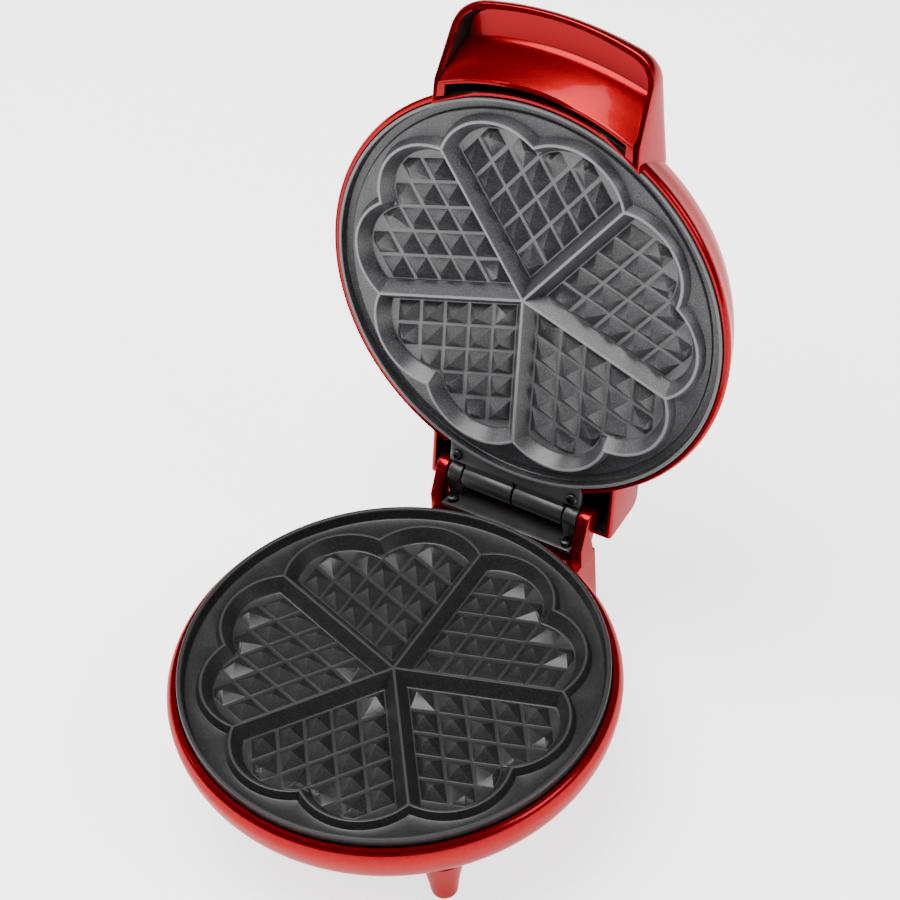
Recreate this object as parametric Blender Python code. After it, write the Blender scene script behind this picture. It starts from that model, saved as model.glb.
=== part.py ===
"""Heart waffle maker with its lid open.

Everything is drawn in millimetres around the middle of the lower baking plate, with z = 0 where the two plates
meet, y towards the hinge and the lid drawn closed. The base then stands on the table and the lid swings open.
"""
import math

import bmesh
import bpy
from mathutils import Matrix, Vector
from mathutils.geometry import delaunay_2d_cdt

MM = 0.001

# Where the drawing's middle stands: the open appliance is centred on the origin and its feet are at z = 0.
BASE_Y = -38.45
MATE_HEIGHT = 66.0

# Hinge
HINGE_Y = 116.0
HINGE_Z = 9.0
OPEN_ANGLE = math.radians(101.0)
PIN_RADIUS = 2.5
BARREL_RADIUS = 6.3
BARREL_END = 27.5
LUG_START = 28.2
LUG_END = 35.4
CHEEK_START = 36.2
CHEEK_END = 42.0
SHROUD_HALF = 50.0

# Baking plates
PLATE_RADIUS = 101.0
HEARTS = 5
HALF_SECTOR = math.pi / HEARTS
NOTCH_RADIUS = 81.4
CUSP_RADIUS = 80.0
LOBE_RADIUS = 30.2
RIDGE_HALF = 0.6
CAVITY_WALL = 4.5
CAVITY_DEPTH = 6.5
OUTER_WALL = 1.8
PYRAMID_PITCH = 13.5
PYRAMID_HEIGHT = 5.0
LAND_HALF = 0.6
PLATE_BACK = 10.5
PLATE_GAP = 0.4

# Casings
WALL = 2.4
TURNS = 44
CASING_BORE = 101.6

GAP = 0.3
STEEL = ("steel", (0.60, 0.60, 0.62), 0.35, 1.0)
BLACK = ("black_plastic", (0.02, 0.02, 0.022), 0.42, 0.0)
RED = ("red_lacquer", (0.45, 0.01, 0.01), 0.22, 0.6)
NONSTICK = ("nonstick_coating", (0.06, 0.06, 0.065), 0.38, 0.3)
ALUMINIUM = ("aluminium", (0.75, 0.76, 0.78), 0.3, 1.0)
CERAMIC = ("ceramic", (0.85, 0.83, 0.78), 0.6, 0.0)
RUBBER = ("rubber", (0.03, 0.03, 0.03), 0.8, 0.0)
GREEN_LENS = ("green_lens", (0.05, 0.5, 0.12), 0.15, 0.0)
AMBER_LENS = ("amber_lens", (0.7, 0.25, 0.03), 0.15, 0.0)
BOARD = ("circuit_board", (0.35, 0.25, 0.1), 0.6, 0.0)


# ---------------------------------------------------------------- scene and objects

def clear_scene():
    for item in list(bpy.data.objects):
        bpy.data.objects.remove(item, do_unlink=True)


def material(finish):
    name, colour, roughness, metallic = finish
    found = bpy.data.materials.get(name)
    if found:
        return found
    made = bpy.data.materials.new(name)
    made.use_nodes = True
    shader = made.node_tree.nodes["Principled BSDF"]
    shader.inputs["Base Color"].default_value = (*colour, 1.0)
    shader.inputs["Roughness"].default_value = roughness
    shader.inputs["Metallic"].default_value = metallic
    return made


def frame_empty(name, location, tilt=0.0):
    empty = bpy.data.objects.new(name, None)
    empty.location = location
    empty.rotation_euler = (tilt, 0.0, 0.0)
    bpy.context.scene.collection.objects.link(empty)
    return empty


class Half:
    """One half of the appliance: the empty its pieces hang on, and where that empty is in the drawing."""

    def __init__(self, empty, origin):
        self.empty = empty
        self.origin = Vector(origin)

    def add(self, name, shape, finish):
        """Turn a bmesh drawn in millimetres into a named object of this half."""
        bmesh.ops.recalc_face_normals(shape, faces=shape.faces)
        bmesh.ops.translate(shape, vec=-self.origin, verts=shape.verts)
        bmesh.ops.scale(shape, vec=(MM, MM, MM), verts=shape.verts)
        mesh = bpy.data.meshes.new(name)
        shape.to_mesh(mesh)
        shape.free()
        mesh.shade_smooth()
        mesh.set_sharp_from_angle(angle=math.radians(35))
        mesh.materials.append(material(finish))
        made = bpy.data.objects.new(name, mesh)
        made.parent = self.empty
        bpy.context.scene.collection.objects.link(made)
        return made

    def tool(self, name, shape):
        """A cutter, or a body to be joined on: not a piece of its own."""
        made = self.add(name, shape, BLACK)
        made.hide_render = True
        made.display_type = "WIRE"
        return made


def boolean(target, tool, operation):
    change = target.modifiers.new(operation.lower() + "_" + tool.name, "BOOLEAN")
    change.operation = operation
    change.object = tool
    change.solver = "EXACT"


def cut(target, *tools):
    for tool in tools:
        boolean(target, tool, "DIFFERENCE")


def join(target, *tools):
    for tool in tools:
        boolean(target, tool, "UNION")


# ---------------------------------------------------------------- plain shapes

def loft(rings):
    """Closed solid through rings of equal point counts, flat at both ends."""
    shape = bmesh.new()
    rows = [[shape.verts.new(point) for point in ring] for ring in rings]
    count = len(rows[0])
    for low, high in zip(rows, rows[1:]):
        for i in range(count):
            j = (i + 1) % count
            shape.faces.new((low[i], low[j], high[j], high[i]))
    shape.faces.new(rows[0][::-1])
    shape.faces.new(rows[-1])
    return shape


def revolve(profile, segments=TURNS):
    """Solid of revolution about z from a closed profile of (radius, z); radius 0 is a pole."""
    shape = bmesh.new()
    rows = []
    for radius, z in profile:
        if radius == 0.0:
            rows.append([shape.verts.new((0.0, 0.0, z))] * segments)
            continue
        row = []
        for i in range(segments):
            turn = 2.0 * math.pi * i / segments
            row.append(shape.verts.new((radius * math.sin(turn), -radius * math.cos(turn), z)))
        rows.append(row)
    for low, high in zip(rows, rows[1:] + rows[:1]):
        for i in range(segments):
            j = (i + 1) % segments
            corners = []
            for corner in (low[i], low[j], high[j], high[i]):
                if corner not in corners:
                    corners.append(corner)
            if len(corners) > 2:
                shape.faces.new(corners)
    return shape


def box(low, high):
    x0, y0, z0 = low
    x1, y1, z1 = high
    return loft([[(x0, y0, z), (x1, y0, z), (x1, y1, z), (x0, y1, z)] for z in (z0, z1)])


def along_x(outline, x0, x1):
    """Prism from a (y, z) outline."""
    return loft([[(x, y, z) for y, z in outline] for x in (x0, x1)])


def along_z(outline, z0, z1):
    """Prism from an (x, y) outline."""
    return loft([[(x, y, z) for x, y in outline] for z in (z0, z1)])


def arc(centre, radius, start, end, steps):
    """Points on a circle, angles in degrees."""
    points = []
    for i in range(steps + 1):
        turn = math.radians(start + (end - start) * i / steps)
        points.append((centre[0] + radius * math.cos(turn), centre[1] + radius * math.sin(turn)))
    return points


def circle(centre, radius, steps):
    return arc(centre, radius, 0.0, 360.0 * (steps - 1) / steps, steps - 1)


def cone(x, y, radius0, z0, radius1, z1, steps=16):
    return loft([[(px, py, z) for px, py in circle((x, y), radius, steps)]
                 for radius, z in ((radius0, z0), (radius1, z1))])


def cylinder(x, y, radius, z0, z1, steps=16):
    return cone(x, y, radius, z0, radius, z1, steps)


def rod_x(radius, x0, x1, steps=20):
    return along_x(circle((HINGE_Y, HINGE_Z), radius, steps), x0, x1)


def merged(*shapes):
    """Several closed bodies in one bmesh, for cutters."""
    whole = bmesh.new()
    for shape in shapes:
        part = bpy.data.meshes.new("part")
        shape.to_mesh(part)
        shape.free()
        whole.from_mesh(part)
        bpy.data.meshes.remove(part)
    return whole


# ---------------------------------------------------------------- baking plates

def heart_axes():
    return [2.0 * HALF_SECTOR * i for i in range(HEARTS)]


def turned(u, v, axis):
    """From a heart's own outward and sideways distances to x and y; axis 0 points to the front."""
    return (u * math.sin(axis) + v * math.cos(axis), v * math.sin(axis) - u * math.cos(axis))


def lobe_centre():
    notch = Vector((NOTCH_RADIUS, 0.0))
    cusp = Vector((CUSP_RADIUS * math.cos(HALF_SECTOR), CUSP_RADIUS * math.sin(HALF_SECTOR)))
    chord = cusp - notch
    inward = Vector((-chord.y, chord.x)).normalized()
    rise = math.sqrt(LOBE_RADIUS ** 2 - (chord.length / 2.0) ** 2)
    return (notch + cusp) / 2.0 + inward * rise


LOBE = lobe_centre()


def on_ray(angle, side, radius):
    """Where a line at `angle`, moved `side` off the middle, leaves a lobe circle of `radius`."""
    along = Vector((math.cos(angle), math.sin(angle)))
    start = Vector((math.sin(angle), -math.cos(angle))) * side
    gap = LOBE - start
    reach = gap.dot(along)
    return start + along * (reach + math.sqrt(radius ** 2 - gap.length_squared + reach ** 2))


def lobe_arc(radius, first, last, steps):
    start = math.atan2(first.y - LOBE.y, first.x - LOBE.x)
    end = math.atan2(last.y - LOBE.y, last.x - LOBE.x)
    angles = [start + (end - start) * i / steps for i in range(steps + 1)]
    return [(LOBE.x + radius * math.cos(a), LOBE.y + radius * math.sin(a)) for a in angles]


def half_heart(offset, steps):
    """From the notch round one lobe to the divider, `offset` inside the ridges' middle lines."""
    radius = LOBE_RADIUS - offset
    return lobe_arc(radius, on_ray(0.0, 0.0, radius), on_ray(HALF_SECTOR, offset, radius), steps)


def heart(offset, steps):
    """One heart's outline in its own (u, v), from its point round both lobes."""
    lobe = half_heart(offset, steps)
    point = [(offset / math.sin(HALF_SECTOR), 0.0)]
    return point + lobe[::-1] + [(u, -v) for u, v in lobe[1:]]


def cluster(offset, steps):
    """Outline round all five hearts together, `offset` outside the ridges' middle line."""
    radius = LOBE_RADIUS + offset
    lobe = lobe_arc(radius, on_ray(0.0, 0.0, radius), on_ray(HALF_SECTOR, 0.0, radius), steps)
    half = [(u, -v) for u, v in lobe[::-1]]
    return [turned(u, v, axis) for axis in heart_axes() for u, v in half + lobe[1:-1]]


def clip(subject, cell):
    """The part of a polygon inside a convex cell whose corners run anticlockwise."""
    for (ax, ay), (bx, by) in zip(cell, cell[1:] + cell[:1]):
        kept = []
        for (px, py), (qx, qy) in zip(subject, subject[1:] + subject[:1]):
            p_side = (bx - ax) * (py - ay) - (by - ay) * (px - ax)
            q_side = (bx - ax) * (qy - ay) - (by - ay) * (qx - ax)
            if p_side >= 0.0:
                kept.append((px, py))
            if (p_side >= 0.0) != (q_side >= 0.0):
                part = p_side / (p_side - q_side)
                kept.append((px + (qx - px) * part, py + (qy - py) * part))
        subject = kept
        if len(subject) < 3:
            return []
    return subject


def edge_distance(point, outline):
    nearest = 1.0e9
    for (ax, ay), (bx, by) in zip(outline, outline[1:] + outline[:1]):
        length = math.hypot(bx - ax, by - ay)
        if length > 1.0e-6:
            side = abs((bx - ax) * (point[1] - ay) - (by - ay) * (point[0] - ax)) / length
            nearest = min(nearest, side)
    return nearest


def pyramids(steps):
    """Outline, peak and height of every pyramid in one heart, in its own (u, v)."""
    floor_offset = RIDGE_HALF + CAVITY_WALL
    outline = heart(floor_offset + LAND_HALF, steps)
    if sum(a[0] * b[1] - b[0] * a[1] for a, b in zip(outline, outline[1:] + outline[:1])) < 0.0:
        outline.reverse()
    start = floor_offset / math.sin(HALF_SECTOR)
    inset = LAND_HALF / math.sin(2.0 * HALF_SECTOR)
    slope = PYRAMID_HEIGHT / (PYRAMID_PITCH * math.sin(2.0 * HALF_SECTOR) / 2.0 - LAND_HALF)

    def corner(a, b):
        return (start + (a + b) * math.cos(HALF_SECTOR), (b - a) * math.sin(HALF_SECTOR))

    found = []
    for row in range(6):
        for column in range(6):
            a0, a1 = row * PYRAMID_PITCH + inset, (row + 1) * PYRAMID_PITCH - inset
            b0, b1 = column * PYRAMID_PITCH + inset, (column + 1) * PYRAMID_PITCH - inset
            cell = [corner(a0, b0), corner(a1, b0), corner(a1, b1), corner(a0, b1)]
            shape = clip(outline, cell)
            if len(shape) < 3:
                continue
            peak = (sum(p[0] for p in shape) / len(shape), sum(p[1] for p in shape) / len(shape))
            height = min(PYRAMID_HEIGHT, slope * edge_distance(peak, shape))
            if height > 2.0:
                found.append((shape, peak, height))
    return found


class Relief:
    """A height map over the plate: closed outlines and peaks, triangulated between their lines."""

    def __init__(self):
        self.points = []
        self.heights = []
        self.edges = []

    def outline(self, points, height):
        first = len(self.points)
        self.points += [Vector(point) for point in points]
        self.heights += [height] * len(points)
        self.edges += [(first + i, first + (i + 1) % len(points)) for i in range(len(points))]
        return first

    def peak(self, point, height, first, count):
        tip = len(self.points)
        self.points.append(Vector(point))
        self.heights.append(height)
        self.edges += [(first + i, tip) for i in range(count)]

    def solid(self, rim_count, back_profile):
        """The relief's first outline is its rim; `back_profile` closes the body behind it."""
        points, _, faces, origin, _, _ = delaunay_2d_cdt(self.points, self.edges, [], 0, 1.0e-4, True)
        shape = bmesh.new()
        verts = [shape.verts.new((p.x, p.y, self.heights[source[0]])) for p, source in zip(points, origin)]
        for face in faces:
            shape.faces.new([verts[i] for i in face])
        place = {source: i for i, sources in enumerate(origin) for source in sources}
        ring = [verts[place[i]] for i in range(rim_count)]
        for radius, z in back_profile:
            below = [shape.verts.new((*(v.co.xy.normalized() * radius), z)) for v in ring]
            for i in range(rim_count):
                j = (i + 1) % rim_count
                shape.faces.new((ring[i], below[i], below[j], ring[j]))
            ring = below
        shape.faces.new(ring)
        return shape


def plate_shape(rim, field, flipped):
    """A baking plate: `rim` is (radius, height) from the edge inwards, `field` the floor round the hearts."""
    rim_steps, lobe_steps = 48, 4
    relief = Relief()
    for radius, height in rim + [(rim[-1][0] - 1.0, field)]:
        relief.outline(circle((0.0, 0.0), radius, rim_steps), height)
    relief.outline(cluster(RIDGE_HALF + OUTER_WALL, lobe_steps), field)
    relief.outline(cluster(RIDGE_HALF, lobe_steps), 0.0)
    floor = -CAVITY_DEPTH
    for axis in heart_axes():
        relief.outline([turned(u, v, axis) for u, v in heart(RIDGE_HALF, lobe_steps)], 0.0)
        relief.outline([turned(u, v, axis) for u, v in heart(RIDGE_HALF + CAVITY_WALL, lobe_steps)], floor)
        for shape, peak, height in pyramids(lobe_steps):
            first = relief.outline([turned(u, v, axis) for u, v in shape], floor)
            relief.peak(turned(*peak, axis), floor + height, first, len(shape))
    shape = relief.solid(rim_steps, [(PLATE_RADIUS, -3.4), (PLATE_RADIUS - 4.0, -PLATE_BACK)])
    if flipped:
        bmesh.ops.scale(shape, vec=(1.0, 1.0, -1.0), verts=shape.verts)
        bmesh.ops.translate(shape, vec=(0.0, 0.0, PLATE_GAP), verts=shape.verts)
    return shape


LOWER_RIM = [(101.0, 0.9), (100.5, 1.5), (99.0, 1.5), (97.6, -4.0)]
LOWER_FIELD = -4.0
UPPER_RIM = [(101.0, -2.6), (100.6, -2.2), (99.4, -2.2), (98.6, -6.0), (95.0, -6.0), (94.4, -4.6)]
UPPER_FIELD = -4.6


# ---------------------------------------------------------------- parts used by both halves

PLATE_SCREWS = [(90.0 * math.sin(turn), 90.0 * math.cos(turn)) for turn in (math.pi / 3, math.pi, 5 * math.pi / 3)]


def facing(side, z):
    """Mirror a height drawn for the base half into the lid half, across the plates' meeting plane."""
    return z if side == "lower" else PLATE_GAP - z


def heater(half, side):
    """Sheathed heating rod: an open ring under the plate, both ends bent away from it."""
    radius, level = 60.0, -14.4
    points = []
    for i in range(25):
        turn = math.radians(20.0 + 320.0 * i / 24)
        points.append((radius * math.sin(turn), radius * math.cos(turn), level))
    first, last = points[0], points[-1]
    points.insert(0, (first[0] - 3.0, first[1] + 1.0, level - 6.5))
    points.append((last[0] + 3.0, last[1] + 1.0, level - 6.5))
    curve = bpy.data.curves.new(side + "_heater", "CURVE")
    curve.dimensions = "3D"
    curve.bevel_depth = 3.2 * MM
    curve.bevel_resolution = 1
    curve.use_fill_caps = True
    spline = curve.splines.new("POLY")
    spline.points.add(len(points) - 1)
    for target, (x, y, z) in zip(spline.points, points):
        place = (Vector((x, y, facing(side, z))) - half.origin) * MM
        target.co = (*place, 1.0)
    curve.materials.append(material(STEEL))
    made = bpy.data.objects.new(side + "_heater", curve)
    made.parent = half.empty
    bpy.context.scene.collection.objects.link(made)


def heater_clip(half, side, turn, name):
    """Arched strap that presses the heating rod against the plate."""
    outline = [(-9.0, -11.0), (-9.0, -12.2), (-4.6, -12.2), (-4.6, -19.4), (4.6, -19.4), (4.6, -12.2), (9.0, -12.2),
               (9.0, -11.0), (3.7, -11.0), (3.7, -18.2), (-3.7, -18.2), (-3.7, -11.0)]
    shape = loft([[(x, 60.0 + r, facing(side, z)) for r, z in outline] for x in (-4.0, 4.0)])
    bmesh.ops.rotate(shape, matrix=Matrix.Rotation(turn, 3, "Z"), verts=shape.verts)
    half.add(name, shape, STEEL)


def reflector(half, side):
    """Dished sheet behind the heating rod that turns the heat back to the plate."""
    profile = [(0.0, -26.0), (76.0, -26.0), (86.0, -20.0), (94.5, -20.0), (94.5, -21.0), (86.5, -21.0),
               (76.4, -27.0), (0.0, -27.0)]
    made = half.add(side + "_reflector", revolve([(r, facing(side, z)) for r, z in profile], 28), ALUMINIUM)
    holes = merged(*[cylinder(x, y, 1.9, *sorted((facing(side, -23.0), facing(side, -17.0))), 10)
                     for x, y in PLATE_SCREWS])
    cut(made, half.tool(side + "_reflector_holes", holes))


def plate_screws(half, side, plate):
    """Three screws up through the reflector's flange into the plate's back."""
    holes = []
    for number, (x, y) in enumerate(PLATE_SCREWS):
        rings = [(3.2, -23.6), (3.2, -21.4), (1.5, -21.3), (1.5, -8.4)]
        shape = loft([[(px, py, facing(side, z)) for px, py in circle((x, y), radius, 10)] for radius, z in rings])
        half.add(f"{side}_plate_screw_{number + 1}", shape, STEEL)
        holes.append(cylinder(x, y, 1.9, *sorted((facing(side, -13.0), facing(side, -8.0))), 10))
    cut(plate, half.tool(side + "_plate_screw_holes", merged(*holes)))


def thermostat(half, side):
    """Snap-disc thermostat in a flanged can, against the plate's middle."""
    profile = [(0.0, -11.0), (15.0, -11.0), (15.0, -12.0), (8.5, -12.0), (8.5, -18.5), (6.5, -20.5), (0.0, -20.5)]
    half.add(side + "_thermostat", revolve([(r, facing(side, z)) for r, z in profile], 20), STEEL)


def cross_screw(half, name, x, y, z_head, z_tip):
    """Pan-head screw along z with a cross recess; the head's top is at z_head."""
    up = 1.0 if z_head > z_tip else -1.0
    rings = [(1.7, z_head), (2.9, z_head - 0.7 * up), (3.0, z_head - 1.8 * up), (1.6, z_head - 1.9 * up), (1.6, z_tip)]
    shape = loft([[(px, py, z) for px, py in circle((x, y), radius, 10)] for radius, z in rings])
    made = half.add(name, shape, STEEL)
    low, high = sorted((z_head - 1.0 * up, z_head + 0.5 * up))
    first = box((x - 1.5, y - 0.35, low), (x + 1.5, y + 0.35, high))
    second = box((x - 0.35, y - 1.5, low - 0.05), (x + 0.35, y + 1.5, high + 0.05))
    cut(made, half.tool(name + "_slot", first), half.tool(name + "_cross", second))


# ---------------------------------------------------------------- base half

BASE_OUTER = [(103.6, -3.0), (105.2, -4.6), (106.4, -8.0), (106.2, -12.5), (104.8, -18.0), (102.0, -23.5),
              (98.0, -28.5), (92.8, -33.5), (86.5, -38.5), (79.5, -43.4), (73.0, -47.4), (66.0, -48.5)]
BASE_INNER = [(0.0, -60.0), (58.0, -60.0), (58.0, -46.1), (66.0, -46.1), (72.2, -45.0), (78.2, -41.3),
              (85.0, -36.6), (91.2, -31.7), (96.1, -27.0), (99.8, -22.4), (102.4, -17.4), (103.8, -12.2),
              (103.9, -8.2), (CASING_BORE, -5.6), (CASING_BORE, 5.0), (0.0, 5.0)]
HOUSING_BACK = 118.0
HOUSING_TOP = -10.0
FRONT_FEET = [(58.0, -58.0), (-58.0, -58.0)]
REAR_FEET = [(34.0, 107.0), (-34.0, 107.0)]
PAD_RADIUS = 4.2
PAD_TOP = -62.5
LEG_FOOT = [(4.9, -65.2), (5.8, -64.4), (6.5, -62.4)]
BOTTOM_SCREWS = [(65.0 * math.sin(turn), 65.0 * math.cos(turn)) for turn in (0.4, math.pi - 0.4, math.pi + 0.4, -0.4)]
HINGE_SCREW_X = 31.6
BASE_SCREW_Y = 107.4
GLAND_Z = -30.0


def cheek_outline():
    """Side view of the cheek that carries the hinge: a round eye on a web that leans forward."""
    eye = arc((HINGE_Y, HINGE_Z), 6.5, 170.0, -75.0, 12)
    return [(103.8, -14.0), (103.8, -1.0)] + eye + [(114.6, -2.0), (116.6, -14.0)]


def leg(x, y, top_radius, top):
    """Tapered leg with a rounded foot."""
    return loft([[(px, py, z) for px, py in circle((x, y), radius, 20)]
                 for radius, z in LEG_FOOT + [(top_radius, top)]])


def base_shell(half):
    shell = half.add("base_shell", revolve([(0.0, BASE_OUTER[0][1])] + BASE_OUTER + [(0.0, BASE_OUTER[-1][1])]), RED)
    housing = box((-CHEEK_END, 60.0, -46.5), (CHEEK_END, HOUSING_BACK, HOUSING_TOP))
    join(shell, half.tool("housing_block", housing))
    for sign, side in ((1, "right"), (-1, "left")):
        cheek = along_x(cheek_outline(), *sorted((sign * CHEEK_START, sign * CHEEK_END)))
        join(shell, half.tool("cheek_" + side, cheek))
    for x, y in FRONT_FEET:
        join(shell, half.tool("front_leg", leg(x, y, 11.5, -36.0)))
    for x, y in REAR_FEET:
        join(shell, half.tool("rear_leg", leg(x, y, 8.0, -44.0)))
    hollow = box((-CHEEK_END + WALL, 50.0, -44.1), (CHEEK_END - WALL, HOUSING_BACK - WALL, HOUSING_TOP - WALL))
    pocket = box((-CHEEK_START, 102.9, -5.3), (CHEEK_START, 130.0, 20.0))
    screws = merged(*[cylinder(sign * HINGE_SCREW_X, BASE_SCREW_Y, 1.9, -20.0, 0.0, 10) for sign in (1, -1)])
    bottom = merged(*[cylinder(x, y, 1.9, -52.0, -44.0, 10) for x, y in BOTTOM_SCREWS])
    pads = merged(*[cylinder(x, y, PAD_RADIUS + GAP, -70.0, PAD_TOP + GAP, 12) for x, y in FRONT_FEET + REAR_FEET])
    gland = loft([[(x, y, z + GLAND_Z) for x, z in circle((0.0, 0.0), 5.6, 16)] for y in (112.0, 122.0)])
    cut(shell, half.tool("bowl_hollow", revolve(BASE_INNER)), half.tool("housing_hollow", hollow),
        half.tool("bracket_pocket", pocket),
        half.tool("bracket_screw_holes", screws), half.tool("bottom_screw_holes", bottom),
        half.tool("gland_hole", gland), half.tool("pad_pockets", pads))


def bottom_cover(half):
    cover = half.add("bottom_cover", revolve([(0.0, -48.8), (71.0, -48.8), (71.0, -50.6), (70.0, -51.4),
                                              (0.0, -51.4)], 28), BLACK)
    holes = [cylinder(x, y, 1.9, -55.0, -45.0, 10) for x, y in BOTTOM_SCREWS]
    slots = [box((x - 1.6, -22.0, -55.0), (x + 1.6, 22.0, -45.0)) for x in range(-30, 31, 12)]
    cut(cover, half.tool("cover_holes", merged(*holes)), half.tool("vent_slots", merged(*slots)))
    for number, (x, y) in enumerate(BOTTOM_SCREWS):
        cross_screw(half, f"bottom_screw_{number + 1}", x, y, -53.5, -43.0)


def foot_pads(half):
    for (x, y), name in zip(FRONT_FEET + REAR_FEET, ("front_right", "front_left", "rear_right", "rear_left")):
        rings = [(PAD_RADIUS - 0.4, -MATE_HEIGHT), (PAD_RADIUS, -MATE_HEIGHT + 0.4), (PAD_RADIUS, PAD_TOP)]
        shape = loft([[(px, py, z) for px, py in circle((x, y), radius, 12)] for radius, z in rings])
        half.add("foot_pad_" + name, shape, RUBBER)


def base_hinge_bracket(half):
    """Black plate with two lugs that hold the ends of the hinge pin."""
    top = -2.6
    bracket = half.add("base_hinge_bracket", box((-LUG_END, 103.3, -5.0), (LUG_END, 119.0, top)), BLACK)
    lug = [(111.0, top - 1.0)] + arc((HINGE_Y, HINGE_Z), BARREL_RADIUS, 190.0, -76.0, 12) + [(116.9, top - 1.0)]
    for sign, side in ((1, "right"), (-1, "left")):
        join(bracket, half.tool("lug_" + side, along_x(lug, *sorted((sign * LUG_START, sign * (LUG_END - 0.1))))))
    bore = rod_x(PIN_RADIUS + GAP, -50.0, 50.0)
    holes = merged(*[cylinder(sign * HINGE_SCREW_X, BASE_SCREW_Y, 1.9, -10.0, 0.0, 10) for sign in (1, -1)])
    cut(bracket, half.tool("lug_bore", bore), half.tool("bracket_holes", holes))
    half.add("hinge_pin", rod_x(PIN_RADIUS, -LUG_END, LUG_END), STEEL)
    for sign, side in ((1, "right"), (-1, "left")):
        cross_screw(half, "base_hinge_screw_" + side, sign * HINGE_SCREW_X, BASE_SCREW_Y, 0.2, -11.5)


def cable_gland(half):
    """Bushing in the back wall; the mains lead would pass through it."""
    wall_in, wall_out = HOUSING_BACK - WALL, HOUSING_BACK
    profile = [(3.4, wall_in - 3.0), (7.4, wall_in - 3.0), (7.4, wall_in - GAP), (5.2, wall_in - GAP),
               (5.2, wall_out + GAP), (7.8, wall_out + GAP), (7.0, wall_out + 4.0), (3.4, wall_out + 4.0)]
    shape = revolve(profile, 16)
    bmesh.ops.rotate(shape, matrix=Matrix.Rotation(math.radians(-90.0), 3, "X"), verts=shape.verts)
    bmesh.ops.translate(shape, vec=(0.0, 0.0, GLAND_Z), verts=shape.verts)
    half.add("cable_gland", shape, BLACK)


def base_wiring(half):
    half.add("terminal_block", box((-13.0, 84.0, -43.6), (13.0, 97.0, -33.0)), CERAMIC)
    holes = [box((x - 2.2, 80.0, -41.0), (x + 2.2, 100.0, -36.0)) for x in (-8.0, 0.0, 8.0)]
    cut(bpy.data.objects["terminal_block"], half.tool("terminal_holes", merged(*holes)))
    fuse = loft([[(x, 30.0 + y, -13.4 + z) for y, z in circle((0.0, 0.0), 2.0, 10)] for x in (-7.0, 7.0)])
    half.add("thermal_fuse", fuse, CERAMIC)


def base_half():
    half = Half(frame_empty("base_frame", (0.0, BASE_Y * MM, MATE_HEIGHT * MM)), (0.0, 0.0, 0.0))
    base_shell(half)
    bottom_cover(half)
    foot_pads(half)
    plate = half.add("lower_plate", plate_shape(LOWER_RIM, LOWER_FIELD, False), NONSTICK)
    inner_parts(half, "lower", plate)
    base_hinge_bracket(half)
    cable_gland(half)
    base_wiring(half)


def inner_parts(half, side, plate):
    """What heats one plate: rod, clips, reflector, screws and thermostat."""
    heater(half, side)
    for number, turn in enumerate((math.radians(100.0), math.radians(-100.0))):
        heater_clip(half, side, turn, f"{side}_heater_clip_{number + 1}")
    reflector(half, side)
    plate_screws(half, side, plate)
    thermostat(half, side)


# ---------------------------------------------------------------- lid half

LID_OUTER = [(103.2, 3.2), (104.0, 4.4), (103.9, 6.2), (102.4, 9.8), (101.2, 13.0), (99.4, 18.0), (97.0, 23.0),
             (94.2, 28.0), (90.2, 33.0), (85.0, 37.0), (77.0, 40.0), (64.0, 41.6), (38.0, 42.3), (0.0, 42.5)]
LID_INNER = [(CASING_BORE, -5.0), (CASING_BORE, 6.0), (100.4, 9.0), (98.9, 12.4), (97.0, 17.4), (94.7, 22.2),
             (91.9, 27.0), (88.2, 31.4), (83.6, 34.9), (76.2, 37.7), (63.8, 39.2), (38.0, 39.9), (0.0, 40.1)]
HANDLE_ROOT_Y = -84.0
HANDLE_LAP = 8.0
HANDLE_SHOULDER_Y = -100.0
HANDLE_ROOT_HALF = 53.4
HANDLE_SHOULDER_HALF = 52.2
HANDLE_TIP_HALF = 50.8
HANDLE_TIP_Y = -139.8
SLOT_RADIUS = 109.7
SLOT_HALF = 46.0
LINER_GAP = 0.4
LAMPS = [(9.0, -54.0, "green", GREEN_LENS), (-9.0, -54.0, "amber", AMBER_LENS)]
LID_SCREW_Y = 100.2


def rim_height(y):
    """The handle's open rim starts level with the plates and leaves their plane towards the tip."""
    return -0.2 + 0.46 * max(0.0, HANDLE_SHOULDER_Y - y)


def roof_height(y):
    """The handle's back slopes down from the lid's dome to the tip."""
    return 36.2 + 0.19 * (y - HANDLE_ROOT_Y)


def handle_plan(inset, lap):
    """Half of the handle's plan from its root to the middle of its tip; its outside runs on into the dome."""
    side = HANDLE_TIP_HALF - inset
    tip = HANDLE_TIP_Y + inset
    start, control, end = Vector((side, tip + 17.0)), Vector((side - 0.8, tip + 6.8)), Vector((side - 12.0, tip + 4.2))
    points = [(HANDLE_ROOT_HALF - inset, HANDLE_ROOT_Y + lap), (HANDLE_SHOULDER_HALF - inset, HANDLE_SHOULDER_Y)]
    for i in range(7):
        t = i / 6
        corner = start * (1 - t) ** 2 + control * 2 * t * (1 - t) + end * t * t
        points.append((corner.x, corner.y))
    for i in range(1, 5):
        x = end.x * (1 - i / 4)
        points.append((x, tip + 4.2 * (x / end.x) ** 2))
    return points


def handle_ring(inset, lap, height):
    half = handle_plan(inset, lap)
    plan = half + [(-x, y) for x, y in half[-2::-1]]
    return [(x, y, height(y)) for x, y in plan]


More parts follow.
